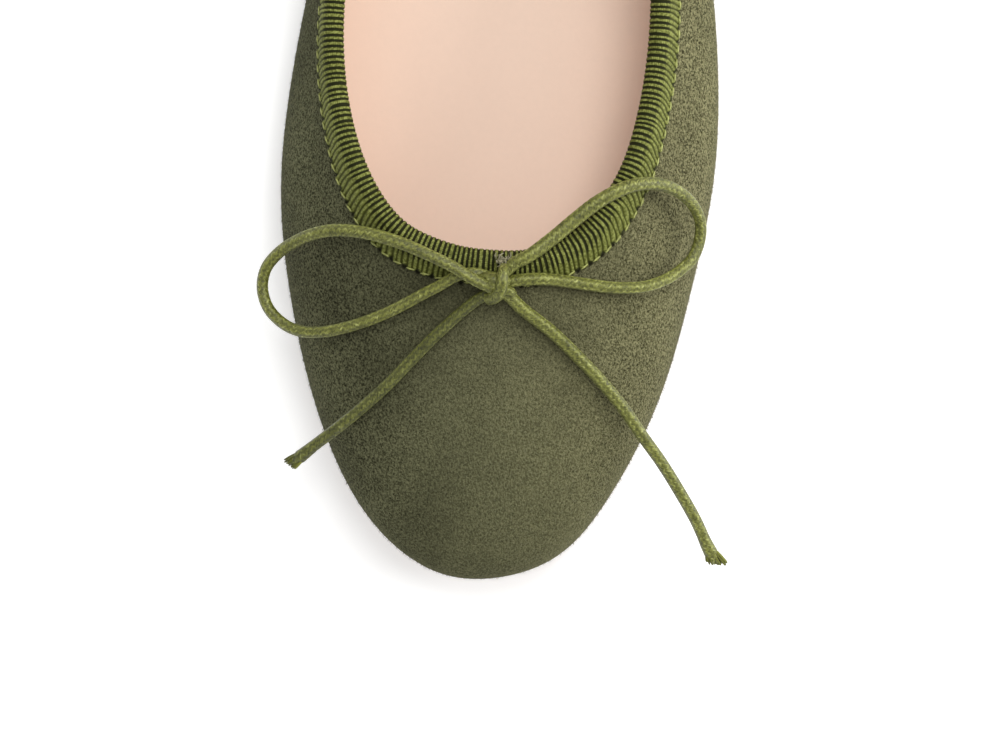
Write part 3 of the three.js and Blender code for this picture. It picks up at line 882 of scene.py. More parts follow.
def nap_tree(material):
    """Short tapered fibres scattered over a surface, most of them lying towards the toe."""
    sizes = {"Density": 1e6, "Fibre Length": 0.0006, "Fibre Radius": 0.00004}
    tree, entry = geometry_tree("suede_nap", sizes)
    scatter = node(tree, "GeometryNodeDistributePointsOnFaces", {
        "Mesh": entry.outputs["Geometry"], "Density": entry.outputs["Density"], "Seed": 11,
    }, distribute_method="RANDOM")
    fibre = node(tree, "GeometryNodeMeshCone", {
        "Vertices": 3, "Side Segments": 1, "Fill Segments": 1, "Radius Top": 0.0,
        "Radius Bottom": entry.outputs["Fibre Radius"], "Depth": entry.outputs["Fibre Length"],
    }, fill_type="NGON")
    stray = node(tree, "FunctionNodeRandomValue", {
        0: (-0.55, -0.55, -0.3), 1: (0.55, 0.55, 0.3), "Seed": 5,
    }, data_type="FLOAT_VECTOR").outputs[0]
    lie = vector_maths(tree, "ADD", stray, (0.18, -0.62, 0.0))
    aim = vector_maths(tree, "ADD", vector_maths(tree, "SCALE", scatter.outputs["Normal"], 0.62), lie)
    turn = node(tree, "FunctionNodeAlignRotationToVector", {"Vector": aim}, axis="Z").outputs[0]
    size = random_value(tree, 0.55, 1.15, 8)
    placed = node(tree, "GeometryNodeInstanceOnPoints", {
        "Points": scatter.outputs["Points"], "Instance": fibre.outputs["Mesh"],
        "Rotation": turn, "Scale": size,
    }).outputs[0]
    shades = random_value(tree, 0.0, 1.0, 21)
    end_tree(tree, stored(tree, placed, "fibre_shade", shades, "INSTANCE"), material)
    return tree


def make_nap(sizes, colours):
    """The suede's standing fibres, from the feather edge up to the ribbon."""
    t = steps_round(0.0, 300)
    top = v_at_depths(t, hem_at(t)[:, None] + 0.5)[:, 0]
    share = np.linspace(0, 1, 34)
    v = -0.8 + (top[:, None] + 0.8) * share[None, :]
    p = wall_offset(t[:, None], v, np.full(v.shape, 0.03))
    field = mesh_piece("nap_field", p.reshape(-1, 3), grid_faces(*p.shape[:2], join_points=False))
    values = {
        "Density": sizes.nap_density, "Fibre Length": sizes.nap_length,
        "Fibre Radius": sizes.nap_length * NAP_SLENDERNESS,
    }
    piece = grown(field, nap_tree(nap_material(colours.suede[:])), values, "suede_nap")
    return settle(piece, "suede")


def make_lining(sizes, colours):
    """Thin leather lining against the suede's back."""
    t = steps_round(0.0, 300)
    v = wall_stations(4, 11, 25)
    sections = wall_layer(t, v, v, -SUEDE_THICKNESS - 0.04, -UPPER_WALL)
    piece = band_piece("lining", sections)
    return settle(piece, "insole_leather", material=lining_material("lining_leather", colours.lining[:]))


def rib_tree(material):
    """Raise a ribbon's surface into ribs, along the phase that its points carry."""
    tree, entry = geometry_tree("ribbon_ribs", {"Rib Height": 0.0002, "Roundness": 3.0})
    worn = carried(tree, "outside")
    off = off_middle(tree, maths(tree, "FRACT", carried(tree, "rib_phase")))
    crest = maths(tree, "SUBTRACT", 0.7, maths(tree, "POWER", off, entry.outputs["Roundness"]))
    height = maths(tree, "MULTIPLY", maths(tree, "MULTIPLY", crest, worn), entry.outputs["Rib Height"])
    end_tree(tree, raised(tree, entry.outputs["Geometry"], height), material)
    return tree


# Sections of the ribbon to each of its ribs.
RINGS_PER_RIB = 6.5


def make_binding(sizes, colours):
    """The ribbed ribbon folded over the topline, full over the cord that runs in it."""
    def gathers(steps):
        """How much closer the ribs lie at each step, and their count up to it from the heel."""
        weight = 1 + 0.13 * bell(steps, ROW_COUNT / 2, 3.4)
        moves = np.diff(run_along(wall_point(steps, np.ones(len(steps)))))
        return weight, np.concatenate([[0], np.cumsum(moves * weight)]) / (sizes.rib_pitch / MM)

    ribs = round(gathers(steps_round(1.0, 900))[1][-1])
    t = steps_round(1.0, int(ribs * RINGS_PER_RIB))
    line = wall_point(t, np.ones(len(t)))
    weight, rib = gathers(t)
    crowding = np.random.default_rng(7).normal(0, 0.1, ribs)
    crowding = np.interp(rib, np.arange(ribs + 1) * rib[-1] / ribs, np.append(crowding, crowding[0]))
    tangent = unit(wall_point(t + 0.004, np.ones(len(t))) - wall_point(t - 0.004, np.ones(len(t))))

    edge, _ = stitch_line(t)
    edge_run = run_along(edge)
    stitches = stitch_count(sizes.stitch_pitch / MM)
    pull = STITCH_PULL * np.cos(TAU * stitches * edge_run[:-1] / edge_run[-1])
    w = np.linspace(0, 1, 9)
    depth = (hem_at(t) + pull)[:, None] * (1 - w)[None, :]
    v = v_at_depths(t, depth)
    swell = sizes.ribbon_swell / MM
    puff = swell * np.sin(np.clip((w - 0.12) / 0.88, 0, 1) * math.pi * 0.62) ** 1.5
    puff = puff - 0.22 * bell(w, 0.1, 0.08)
    outer_leg = wall_offset(t[:, None], v, np.broadcast_to(RIBBON_FACE + puff, v.shape))

    out, up = wall_axes(t, np.ones(len(t)))
    centre = wall_point(t, np.ones(len(t))) - out * (UPPER_WALL / 2)

    def fold(radius_out, radius_in, stations):
        turns = np.linspace(0, math.pi, stations + 2)[1:-1]
        radius = radius_in + (radius_out - radius_in) * (1 + np.cos(turns)) / 2
        rise = (np.sin(turns) * (radius + FOLD_FULLNESS))[None, :, None]
        return centre[:, None] + out[:, None] * (np.cos(turns) * radius)[None, :, None] + up[:, None] * rise

    full = UPPER_WALL / 2 + RIBBON_FACE
    over = fold(full + puff[-1], full, 8)
    inner_w = np.array([1.0, 0.7, 0.35, 0.0])
    inner_v = v_at_depths(t, np.broadcast_to(BINDING_DEPTH * (1 - inner_w), (len(t), 4)))
    inner_leg = wall_offset(t[:, None], inner_v, np.full(inner_v.shape, -UPPER_WALL - RIBBON_FACE))
    back_v = inner_v[:, [3, 0]]
    back_leg = wall_offset(t[:, None], back_v, np.full(back_v.shape, -UPPER_WALL - CLEARANCE))
    half = UPPER_WALL / 2 + CLEARANCE
    under = fold(half, half, 3)[:, ::-1]
    front_v = v[:, [-1, 0]]
    front_leg = wall_offset(t[:, None], front_v, np.full(front_v.shape, CLEARANCE))
    sections = np.concatenate([outer_leg, over, inner_leg, back_leg, under, front_leg], axis=1)
    worn = outer_leg.shape[1] + over.shape[1] + inner_leg.shape[1]
    rows = sections.shape[1]
    lower = np.zeros(rows)
    lower[:len(w)] = 1 - w

    slip = np.einsum("ijk,ik->ij", sections - line[:, None], tangent)
    slip = slip - lean_at(t)[:, None] * lower[None, :] ** 1.3
    pitch = sizes.rib_pitch / MM
    phase = (rib[:-1, None] + slip * weight[:, None] / pitch) * ribs / rib[-1] + crowding[:-1, None]
    outside = np.zeros(sections.shape[:2])
    outside[:, :worn] = 1
    # Painted shadow in the notches of the ribbon's edge, halfway between the stitches.
    notch_shadow = (0.5 - 0.5 * pull / STITCH_PULL)[:, None] * np.maximum(lower - 0.8, 0)[None, :] * 5
    notch_shadow[:, -1] = notch_shadow[:, 0]
    piece = band_piece("ribbon_binding", sections, {"rib_phase": phase, "outside": outside, "notch_shadow": notch_shadow})
    moves = np.linalg.norm(np.diff(sections[:, :worn], axis=1), axis=2).mean(axis=0)
    down = np.concatenate([[0], np.cumsum(moves), np.full(rows + 1 - worn, moves.sum())])
    down -= down[len(w) - 1]
    phase = np.concatenate([phase, phase[:, :1]], axis=1)
    phase = np.concatenate([phase, phase[:1] + ribs], axis=0)
    set_run_uv(piece, phase, np.broadcast_to(down, phase.shape))
    values = {"Rib Height": sizes.rib_height, "Roundness": 3.0}
    piece = grown(piece, rib_tree(ribbon_material(colours.ribbon[:])), values, "ribbon_binding")
    return settle(piece, "ribbon", "topline_binding")


def stitch_tree(material):
    """Stitches at even steps along a closed line, lying flat on the surface that the line's points face."""
    sizes = {"Count": 190.0, "Stitch Length": 0.0017, "Thread": 0.0004}
    tree, entry = geometry_tree("edge_stitches", sizes)
    curve = node(tree, "GeometryNodeMeshToCurve", {"Mesh": entry.outputs["Geometry"]}).outputs[0]
    even = {"Curve": curve, "Count": entry.outputs["Count"]}
    even = node(tree, "GeometryNodeResampleCurve", even).outputs[0]
    facing = carried(tree, "facing", "FLOAT_VECTOR")
    along = node(tree, "GeometryNodeInputTangent").outputs[0]
    lie = node(tree, "FunctionNodeAlignRotationToVector", {"Vector": along}, axis="X").outputs[0]
    turn = node(tree, "FunctionNodeAlignRotationToVector", {
        "Rotation": lie, "Vector": facing,
    }, axis="Z", pivot_axis="X").outputs[0]
    swing = node(tree, "ShaderNodeCombineXYZ", {"Z": random_value(tree, 0.08, 0.24, 3)}).outputs[0]
    turned = node(tree, "FunctionNodeRotateRotation", {
        "Rotation": turn, "Rotate By": swing,
    }, rotation_space="LOCAL").outputs[0]
    bead = node(tree, "GeometryNodeMeshUVSphere", {"Segments": 8, "Rings": 5, "Radius": 0.5}).outputs["Mesh"]
    shape = node(tree, "ShaderNodeCombineXYZ", {
        "X": entry.outputs["Stitch Length"], "Y": entry.outputs["Thread"],
        "Z": maths(tree, "MULTIPLY", entry.outputs["Thread"], 0.8),
    }).outputs[0]
    placed = node(tree, "GeometryNodeInstanceOnPoints", {
        "Points": even, "Instance": bead, "Rotation": turned, "Scale": shape,
    }).outputs[0]
    end_tree(tree, placed, material)
    return tree


def make_stitches(sizes, colours):
    """The row of sewing thread along the ribbon's outer edge."""
    t = steps_round(1.0, 900)
    points, out = stitch_line(t)
    mesh = bpy.data.meshes.new("stitch_line")
    count = len(points)
    mesh.from_pydata((points * MM).tolist(), [(i, (i + 1) % count) for i in range(count)], [])
    mesh.attributes.new("facing", "FLOAT_VECTOR", "POINT").data.foreach_set("vector", out.ravel())
    values = {
        "Count": float(stitch_count(sizes.stitch_pitch / MM)), "Stitch Length": sizes.stitch_length,
        "Thread": sizes.thread_diameter,
    }
    tree = stitch_tree(thread_material(colours.thread[:]))
    piece = grown(linked("stitch_line", mesh), tree, values, "ribbon_stitches")
    return settle(piece, "ribbon")


# Sole

def shoe_middle(low, high):
    """Middles between the two sides of a ring round the shoe, held between two places along it."""
    def middle(ring):
        toe = int(np.argmin(ring[:, 1]))
        y = np.clip(ring[:, 1], low, high)
        left = np.interp(-y, -ring[:toe + 1, 1], ring[:toe + 1, 0])
        right = np.interp(y, ring[toe:, 1], ring[toe:, 0])
        return np.stack([(left + right) / 2, y], axis=1)

    return middle


def heel_middle(ring):
    return np.broadcast_to(ring[:, :2].mean(axis=0), (len(ring), 2))


def make_insole(sizes, colours):
    """The padded sock inside, its edge against the lining."""
    t = steps_round(-1.0, 420)
    bottom = SOLE_THICKNESS + UPPER_WALL + 2 * CLEARANCE
    inner_cheek = cheek_at(t) - UPPER_WALL - CLEARANCE

    def edge(height, inset):
        level = np.arccos(np.clip(1 - (height - bottom) / inner_cheek, -1, 1)) / (math.pi / 2) - 1
        ring = wall_offset(t, level, -UPPER_WALL - CLEARANCE - inset)
        ring[:, 2] = underside(ring[:, 1]) + height
        return ring

    top = bottom + INSOLE_THICKNESS
    profile = ((0.0, 0.15), (0.35, 0.0), (1.2, 0.0), (1.6, 0.06), (1.85, 0.25), (1.97, 0.6))
    rings = [edge(bottom + rise, inset) for rise, inset in profile]

    def low(x, y, share):
        return underside(y) + bottom

    def high(x, y, share):
        return underside(y) + top + 0.12 * (1 - share ** 2)

    piece = plate_piece("insole", rings, shoe_middle(-92, 92), (low, high), np.linspace(0, PLATE_REACH, 26))
    leather = lining_material("insole_leather", colours.insole[:])
    return settle(piece, "insole_leather", "insole", material=leather)


def make_outsole(sizes, colours):
    """The leather sole, with rounded and darkened edges."""
    t = steps_round(-1.0, 460)
    inset = tuck_at(t) - SOLE_LIP
    profile = (
        (0.0, SOLE_BEVEL), (0.1, 0.42), (0.34, 0.14), (SOLE_BEVEL, 0.0), (2.3, 0.0), (2.8, 0.12), (3.0, 0.4),
    )
    rings = [sole_point(t, inset + extra, np.full(len(t), float(rise))) for rise, extra in profile]

    def low(x, y, share):
        return underside(y)

    def high(x, y, share):
        return underside(y) + SOLE_THICKNESS

    shares = np.linspace(0, PLATE_REACH, 22)
    piece = plate_piece("outsole", rings, shoe_middle(-95, 95), (low, high), shares)
    edge_of_sole(piece)
    return settle(piece, "sole_leather", "outsole", material=sole_material(colours.sole[:]))


def edge_of_sole(piece):
    """Mark how near each point of the sole is to its edge, for the darker dressing there."""
    count = len(piece.data.vertices)
    places = np.empty(count * 3)
    piece.data.vertices.foreach_get("co", places)
    places = places.reshape(-1, 3) / MM
    t = np.linspace(0, ROW_COUNT, 720, endpoint=False)
    rim = sole_point(t, tuck_at(t) - SOLE_LIP, np.zeros(len(t)))[:, :2]
    nearest = np.array([np.min(np.hypot(*(rim - place[:2]).T)) for place in places])
    set_attribute(piece.data, "edge", np.clip(1 - (nearest - 0.9) / 1.2, 0, 1))


def heel_ring(height, extra):
    """The heel's plan at a height, cut straight across at the breast."""
    breast = HALF_LENGTH - HEEL_LENGTH
    widen = HEEL_INSET - SOLE_LIP + HEEL_TAPER * (1 - height / HEEL_HEIGHT) + extra

    def edge(t):
        return outline(t) + inward(outline, t) * (tuck_at(t) + widen)[:, None]

    t = np.linspace(0, ROW_COUNT, 2400)
    y = edge(t)[:, 1]
    first = np.argmax(y < breast)
    last = len(t) - 1 - np.argmax(y[::-1] < breast)
    start = np.interp(-breast, [-y[first - 1], -y[first]], [t[first - 1], t[first]])
    finish = np.interp(breast, [y[last], y[last + 1]], [t[last], t[last + 1]])
    arc = edge(np.linspace(finish - ROW_COUNT, start, 150) % ROW_COUNT)
    arc[:, 1] = np.maximum(arc[:, 1], breast + max(0.0, extra))
    across = np.linspace(arc[-1], arc[0], 32)[1:-1]
    ring = np.concatenate([arc, across])
    return np.concatenate([ring, np.full((len(ring), 1), float(height))], axis=1)


def heel_block(name, low, high, profile):
    """A block of the heel between two heights, with its edge's profile as (rise, inset) pairs."""
    rings = [heel_ring(low + rise, extra) for rise, extra in profile]

    def floor(x, y, share):
        return np.full(len(x), float(low))

    def ceiling(x, y, share):
        return np.full(len(x), float(high))

    return plate_piece(name, rings, heel_middle, (floor, ceiling), np.linspace(0, PLATE_REACH, 8))


def make_heel(sizes, colours):
    """The stacked leather heel and the rubber top piece that it walks on."""
    low = TOP_PIECE_THICKNESS + CLEARANCE
    high = HEEL_HEIGHT - CLEARANCE
    lift = sizes.heel_lift / MM
    profile = [(0.0, 0.3), (0.2, 0.06)]
    seams = np.arange(math.ceil(low / lift), math.floor(high / lift) + 1) * lift - low
    for seam in seams:
        if 0.5 < seam < high - low - 0.5:
            profile += [(seam - 0.16, 0.0), (seam, 0.11), (seam + 0.16, 0.0)]
    profile += [(high - low - 0.2, 0.02), (high - low, 0.25)]
    block = heel_block("stacked_heel", low, high, profile)
    settle(block, "stacked_leather", "heel", material=stack_material(colours.heel[:], sizes.heel_lift))
    shape = [(0.0, 0.5), (0.14, 0.14), (0.5, 0.0), (2.0, 0.0), (3.6, 0.0), (3.9, 0.1), (4.0, 0.3)]
    piece = heel_block("heel_top_piece", 0.0, TOP_PIECE_THICKNESS, shape)
    settle(piece, "top_piece_rubber", "heel_top_piece", material=rubber_material(colours.rubber[:]))


# Bow

def cord_line(route):
    """Centripetal Catmull-Rom curve through a route's points, at even steps."""
    points = np.array(route, float)
    ends = (2 * points[0] - points[1], 2 * points[-1] - points[-2])
    padded = np.concatenate([ends[:1], points, ends[1:]])
    pieces = []
    for k in range(len(points) - 1):
        p0, p1, p2, p3 = padded[k:k + 4]
        d0, d1, d2 = (max(np.sqrt(np.linalg.norm(b - a)), 1e-4) for a, b in ((p0, p1), (p1, p2), (p2, p3)))
        m1 = ((p1 - p0) / d0 - (p2 - p0) / (d0 + d1) + (p2 - p1) / d1) * d1
        m2 = ((p2 - p1) / d1 - (p3 - p1) / (d1 + d2) + (p3 - p2) / d2) * d1
        f = np.linspace(0, 1, 25)[:-1, None]
        curve = p1 + m1 * f + (3 * (p2 - p1) - 2 * m1 - m2) * f ** 2 + (2 * (p1 - p2) + m1 + m2) * f ** 3
        pieces.append(curve)
    dense = np.concatenate(pieces + [points[-1:]])
    run = run_up(dense)
    steps = np.linspace(0, run[-1], int(round(run[-1] / CORD_STEP)) + 1)
    return np.stack([np.interp(steps, run, dense[:, c]) for c in range(3)], axis=1)


def sweep_frames(line):
    """Unit tangents and steady cross axes along a line."""
    tangent = unit(np.gradient(line, axis=0))
    start = np.array([0.0, 0.0, 1.0])
    axis = unit(start - tangent[0] * start.dot(tangent[0]))
    first = [axis]
    for k in range(1, len(line)):
        axis = first[-1] - tangent[k] * first[-1].dot(tangent[k])
        first.append(axis / np.linalg.norm(axis))
    first = np.array(first)
    return tangent, first, np.cross(tangent, first)


def tube_piece(name, line, radii, spread=None, painted_shade=0.0, sides=36):
    """A closed tube round a line, wider in plan by spread, whose points carry their place round it and along
    it in millimetres, and a share of painted shade."""
    tangent, first, second = sweep_frames(line)
    turn = np.arange(sides) / sides
    x, y = np.cos(TAU * turn)[None, :, None], np.sin(TAU * turn)[None, :, None]
    ring = x * first[:, None] - y * second[:, None]
    if spread is not None:
        flat = unit(np.stack([-tangent[:, 1], tangent[:, 0], np.zeros(len(line))], axis=1))
        wider = np.einsum("ijk,ik->ij", ring, flat) * (spread - 1)[:, None]
        ring = ring + wider[..., None] * flat[:, None]
    points = line[:, None] + ring * radii[:, None, None]
    run = run_up(line)
    faces = grid_faces(len(line), sides, join_rings=False)
    count = len(line) * sides
    for j in range(sides):
        after = (j + 1) % sides
        faces.append((count, j, after))
        faces.append((count + 1, count - sides + after, count - sides + j))
    caps = [line[0] - tangent[0] * radii[0] * 0.4, line[-1] + tangent[-1] * radii[-1] * 0.25]
    places = np.concatenate([points.reshape(-1, 3), caps])
    around = np.concatenate([np.tile(turn, len(line)), [0, 0]])
    along = np.concatenate([np.repeat(run, sides), [0, run[-1]]])
    painted_shades = np.full(len(places), painted_shade)
    return mesh_piece(name, places, faces, {"around": around, "along": along, "painted_shade": painted_shades})


def braid_tree(material):
    """Raise a tube's surface into a fine braid: strands cross over and under each other both ways round, and
    fibres streak along each of them."""
    sizes = {"Braid Height": 0.0001, "Braid Pitch": 1.3, "Strands": BRAID_STRANDS}
    tree, entry = geometry_tree("cord_braid", sizes)
    around, along = carried(tree, "around"), carried(tree, "along")
    step = maths(tree, "DIVIDE", along, entry.outputs["Braid Pitch"])
    wind = maths(tree, "MULTIPLY", around, entry.outputs["Strands"])
    turns = maths(tree, "DIVIDE", step, entry.outputs["Strands"])
    one = maths(tree, "ADD", step, wind)
    two = maths(tree, "SUBTRACT", step, wind)

    def strand(this, other, shift):
        off = off_middle(tree, maths(tree, "FRACT", this))
        ridge = maths(tree, "SUBTRACT", 1.0, maths(tree, "POWER", off, 2.2))
        wave = maths(tree, "ADD", maths(tree, "ADD", other, maths(tree, "FLOOR", this)), shift)
        over = maths(tree, "COSINE", maths(tree, "MULTIPLY", wave, math.pi))
        return maths(tree, "MULTIPLY", ridge, maths(tree, "MULTIPLY_ADD", over, 0.3, 0.7))

    def streaks(place):
        angle = maths(tree, "MULTIPLY", place, TAU)
        round_it = node(tree, "ShaderNodeCombineXYZ", {
            "X": maths(tree, "COSINE", angle), "Y": maths(tree, "SINE", angle),
            "Z": maths(tree, "MULTIPLY", along, 0.24),
        }).outputs[0]
        return noise(tree, round_it, 4.4, 3.0, 0.65)

    first, second = strand(one, two, 0.0), strand(two, one, 1.0)
    height = maths(tree, "MAXIMUM", first, second)
    upper = maths(tree, "GREATER_THAN", first, second)
    below = streaks(maths(tree, "SUBTRACT", around, turns))
    above = streaks(maths(tree, "ADD", around, turns))
    kept = stored(tree, entry.outputs["Geometry"], "braid", height)
    kept = stored(tree, kept, "streak", mix_value(tree, upper, below, above))
    depth = maths(tree, "MULTIPLY", maths(tree, "SUBTRACT", height, 0.6), entry.outputs["Braid Height"])
    end_tree(tree, raised(tree, kept, depth), material)
    return tree


def strands_piece(name, starts, tips, radii, shades, sag, material):
    """Loose strands as one mesh: tapering tubes from starts to tips, bent by sag, each with its own shade."""
    rings, sides = 7, 6
    share = np.linspace(0, 1, rings)
    line = starts[:, None] + (tips - starts)[:, None] * share[None, :, None]
    line = line + sag[:, None] * np.sin(share * math.pi)[None, :, None]
    tangent = unit(np.gradient(line, axis=1))
    side = unit(np.cross(tangent, (0.1, 0.2, 1.0)))
    rise = np.cross(side, tangent)
    turn = TAU * np.arange(sides) / sides
    width = radii[:, None] * (1 - 0.45 * share ** 3)[None, :]
    ring = side[:, :, None] * np.cos(turn)[:, None] + rise[:, :, None] * np.sin(turn)[:, None]
    points = line[:, :, None] + ring * width[:, :, None, None]
    count = rings * sides
    tube = grid_faces(rings, sides, join_rings=False)
    faces = []
    for k in range(len(starts)):
        faces += [[k * count + corner for corner in face] for face in tube]
        faces.append([k * count + j for j in range(sides)])
        faces.append([k * count + count - 1 - j for j in range(sides)])
    piece = mesh_piece(name, points.reshape(-1, 3), faces, {"strand": np.repeat(shades, count)})
    return settle(piece, "waxed_cord", material=material)


# Loose strands of a cut end and their length inside the cord, and the fibres of the tuft.
CUT_STRANDS = 46
CUT_LENGTH = 3.0
TUFT_FIBRES = 44


def cut_end(name, line, width, slant, material):
    """The strands of a cord's cut end, which spread flat to a width and end on a slanting line."""
    rng = np.random.default_rng(len(name))
    count = CUT_STRANDS
    tangent = unit(line[-1] - line[-8])
    side = unit(np.cross(tangent, (0.0, 0.0, 1.0)))
    rise = np.cross(side, tangent)
    turn = rng.uniform(0, TAU, count)
    out = np.sqrt(rng.uniform(0, 1, count))
    x, z = np.cos(turn) * out, np.sin(turn) * out
    reach = slant * x * 0.9 + 0.55 * (1.0 - x ** 2) - 0.2 + rng.normal(0.0, 0.18, count)
    radius = CORD_DIAMETER / 2
    starts = line[-1] - tangent * CUT_LENGTH
    starts = starts + side * (x * radius * 0.75)[:, None] + rise * (z * radius * 0.75)[:, None]
    tips = line[-1] + tangent * reach[:, None]
    tips = tips + side * (x * width / 2)[:, None] + rise * (z * radius * 0.8)[:, None]
    sag = side * (x * 0.1)[:, None] + rise * (rng.normal(0.1, 0.08, count))[:, None]
    shades = np.clip(0.5 - 0.35 * x + rng.normal(0, 0.28, count), 0, 1)
    return strands_piece(name, starts, tips, rng.uniform(0.17, 0.27, count), shades, sag, material)


def outlet_tuft(material):
    """Pale worn fibres on the fold where the drawcord comes out behind the knot."""
    rng = np.random.default_rng(5)
    count = TUFT_FIBRES
    x, y = rng.uniform(-1.0, 1.5, count), rng.uniform(-0.9, 0.9, count)
    aim = rng.normal(1.2, 0.8, count)
    reach = rng.uniform(0.5, 1.2, count)

    def lying(x, y, lift):
        height = 42.55 - 0.26 * np.clip(y + 0.6, 0, 3) ** 2 + lift
        return np.stack([0.3 + x, -64.4 + y, height], axis=1)

    starts = lying(x, y, -0.15)
    tips = lying(x + np.cos(aim) * reach, y + np.sin(aim) * reach, rng.uniform(0.0, 0.3, count))
    sag = [rng.normal(0, 0.15, count), rng.normal(0, 0.12, count), rng.uniform(0.1, 0.35, count)]
    sag = np.stack(sag, axis=1)
    shades = rng.uniform(0, 1, count)
    radii = rng.uniform(0.08, 0.15, count)
    return strands_piece("cord_outlet_fray", starts, tips, radii, shades, sag, material)


# Stretches of cord that make up the knot: the wrap over its front, the strand that it holds and the turn
# beside it, as points of each centre line with the radius at each of them.
KNOT_TURNS = (
    (
        (0.8, -65.3, 41.2, 0.8), (0.7, -65.6, 42.9, 0.95), (0.6, -66.3, 44.2, 1.05),
        (0.45, -67.7, 44.8, 1.08), (0.25, -69.2, 44.2, 1.1), (-0.4, -70.4, 43.0, 1.2),
        (-1.3, -70.9, 42.0, 1.3), (-2.2, -71.0, 41.0, 1.2),
    ),
    (
        (-3.4, -67.2, 41.9, 1.0), (-2.2, -67.5, 42.6, 1.35), (-0.9, -67.9, 42.9, 1.45),
        (0.2, -68.0, 42.6, 1.3), (0.9, -67.9, 41.7, 1.2),
    ),
    ((0.2, -69.2, 42.7, 0.9), (1.2, -69.6, 42.6, 0.9), (2.1, -69.9, 41.9, 0.82), (2.5, -70.1, 41.0, 0.6)),
)

# How much wider than round each cord lies, at even steps along it from the knot.
CORD_SPREAD = {
    "bow_loop_medial": (1.0, 1.04, 1.12, 1.14, 1.06, 1.0, 1.0, 1.0, 1.02, 1.0, 1.0),
    "bow_loop_lateral": (1.1, 1.24, 1.26, 1.18, 1.08, 1.02, 1.04, 1.04, 1.08, 1.1, 1.1),
    "bow_end_medial": (1.0, 1.02, 1.05, 1.05, 1.05, 1.04, 1.0),
    "bow_end_lateral": (1.1, 1.1, 1.06, 1.06, 1.04, 1.04, 1.04),
}


def spaced(values, count):
    """Values that are evenly spaced along a line, read off at count even steps."""
    return np.interp(np.linspace(0, 1, count), np.linspace(0, 1, len(values)), values)


def knot_piece(braid, values):
    """The knot's turns as one piece."""
    turns = []
    for k, turn in enumerate(KNOT_TURNS):
        line = cord_line([place[:3] for place in turn])
        radii = spaced([place[3] for place in turn], len(line))
        # Painted shade in the knot.
        turns.append(tube_piece(f"knot_turn_{k}", line, radii, painted_shade=0.1))
    with bpy.context.temp_override(active_object=turns[0], selected_editable_objects=turns):
        bpy.ops.object.join()
    return grown(turns[0], braid, values, "bow_knot_cord")


def make_bow(sizes, colours):
    """The drawcord's bow: two loops, two cut ends and the knot that holds them."""
    braid = braid_tree(cord_material(colours.cord[:]))
    loose = strand_material("cord_strands", tone(colours.cord, 0.4)[:3], tone(colours.cord, 1.15)[:3])
    worn = strand_material("cord_fibres", linear(70, 70, 40), linear(162, 156, 128))
    radius = CORD_DIAMETER / 2
    values = {"Braid Height": sizes.braid_height, "Braid Pitch": sizes.braid_pitch / MM}
    made = {"bow_knot": knot_piece(braid, values)}
    lines = {}
    for name, route in CORD_ROUTES.items():
        if name == "bow_knot":
            continue
        before, after = CORD_TAILS[name]
        line = cord_line((*before, *route, *after))
        left = CORD_STEP * np.arange(len(line))[::-1]
        spread = spaced(CORD_SPREAD[name], len(line))
        flare = np.interp(left, (0, 1.4, 2.4, 6), (0.5, 0.95, 1.18, 1)) if "end" in name else 1.0
        # Painted shade on the inner cut end, which lies in shade.
        painted_shade = 0.7 if name == "bow_end_medial" else 0.0
        tube = tube_piece(name + "_tube", line, radius * flare * np.ones(len(line)), spread, painted_shade)
        made[name] = grown(tube, braid, values, name + "_cord")
        lines[name] = line
    for name, piece in made.items():
        settle(piece, "waxed_cord", name)
    tufts = {
        "bow_end_medial": cut_end("bow_end_medial_cut", lines["bow_end_medial"], 3.1, 0.3, loose),
        "bow_end_lateral": cut_end("bow_end_lateral_cut", lines["bow_end_lateral"], 3.7, -1.4, loose),
        "bow_loop_medial": outlet_tuft(worn),
    }
    for name, line in lines.items():
        with_pieces = [tufts[name]] if name in tufts else []
        if name == "bow_loop_medial":
            with_pieces.append(made["bow_knot"])


# Stage

# The photograph is 0.185 m wide at a level of 17 mm, seen from straight above its middle.
CAMERA_HEIGHT = 3.0
PHOTO_LEVEL = 0.017
PHOTO_WIDTH = 0.18536
PHOTO_MIDDLE_Y = -0.08407
FLOOR_REACH = 3.0


# Name, place, target, size, power in watts and colour of each light.
STUDIO_LIGHTS = (
    ("key", (0.28, 0.42, 1.25), (0.0, -0.06, 0.02), (0.42, 1.0), 8.7, (1.0, 0.99, 0.97)),
    ("side", (1.3, 0.1, 0.45), (0.0, -0.04, 0.03), (0.5, 1.0), 12.5, (1.0, 1.0, 1.0)),
    ("top", (0.1, 0.65, 1.5), (0.0, -0.06, 0.0), (1.2, 1.2), 5.2, (1.0, 1.0, 1.0)),
)
BACKDROP_STRENGTH = 0.6


def area_light(name, place, target, size, power, colour):
    data = bpy.data.lights.new(name, "AREA")
    data.shape = "RECTANGLE"
    data.size, data.size_y = size
    data.energy = power
    data.color = colour
    lamp = linked(name, data)
    lamp.location = place
    lamp.rotation_euler = (Vector(target) - Vector(place)).to_track_quat("-Z", "Y").to_euler()


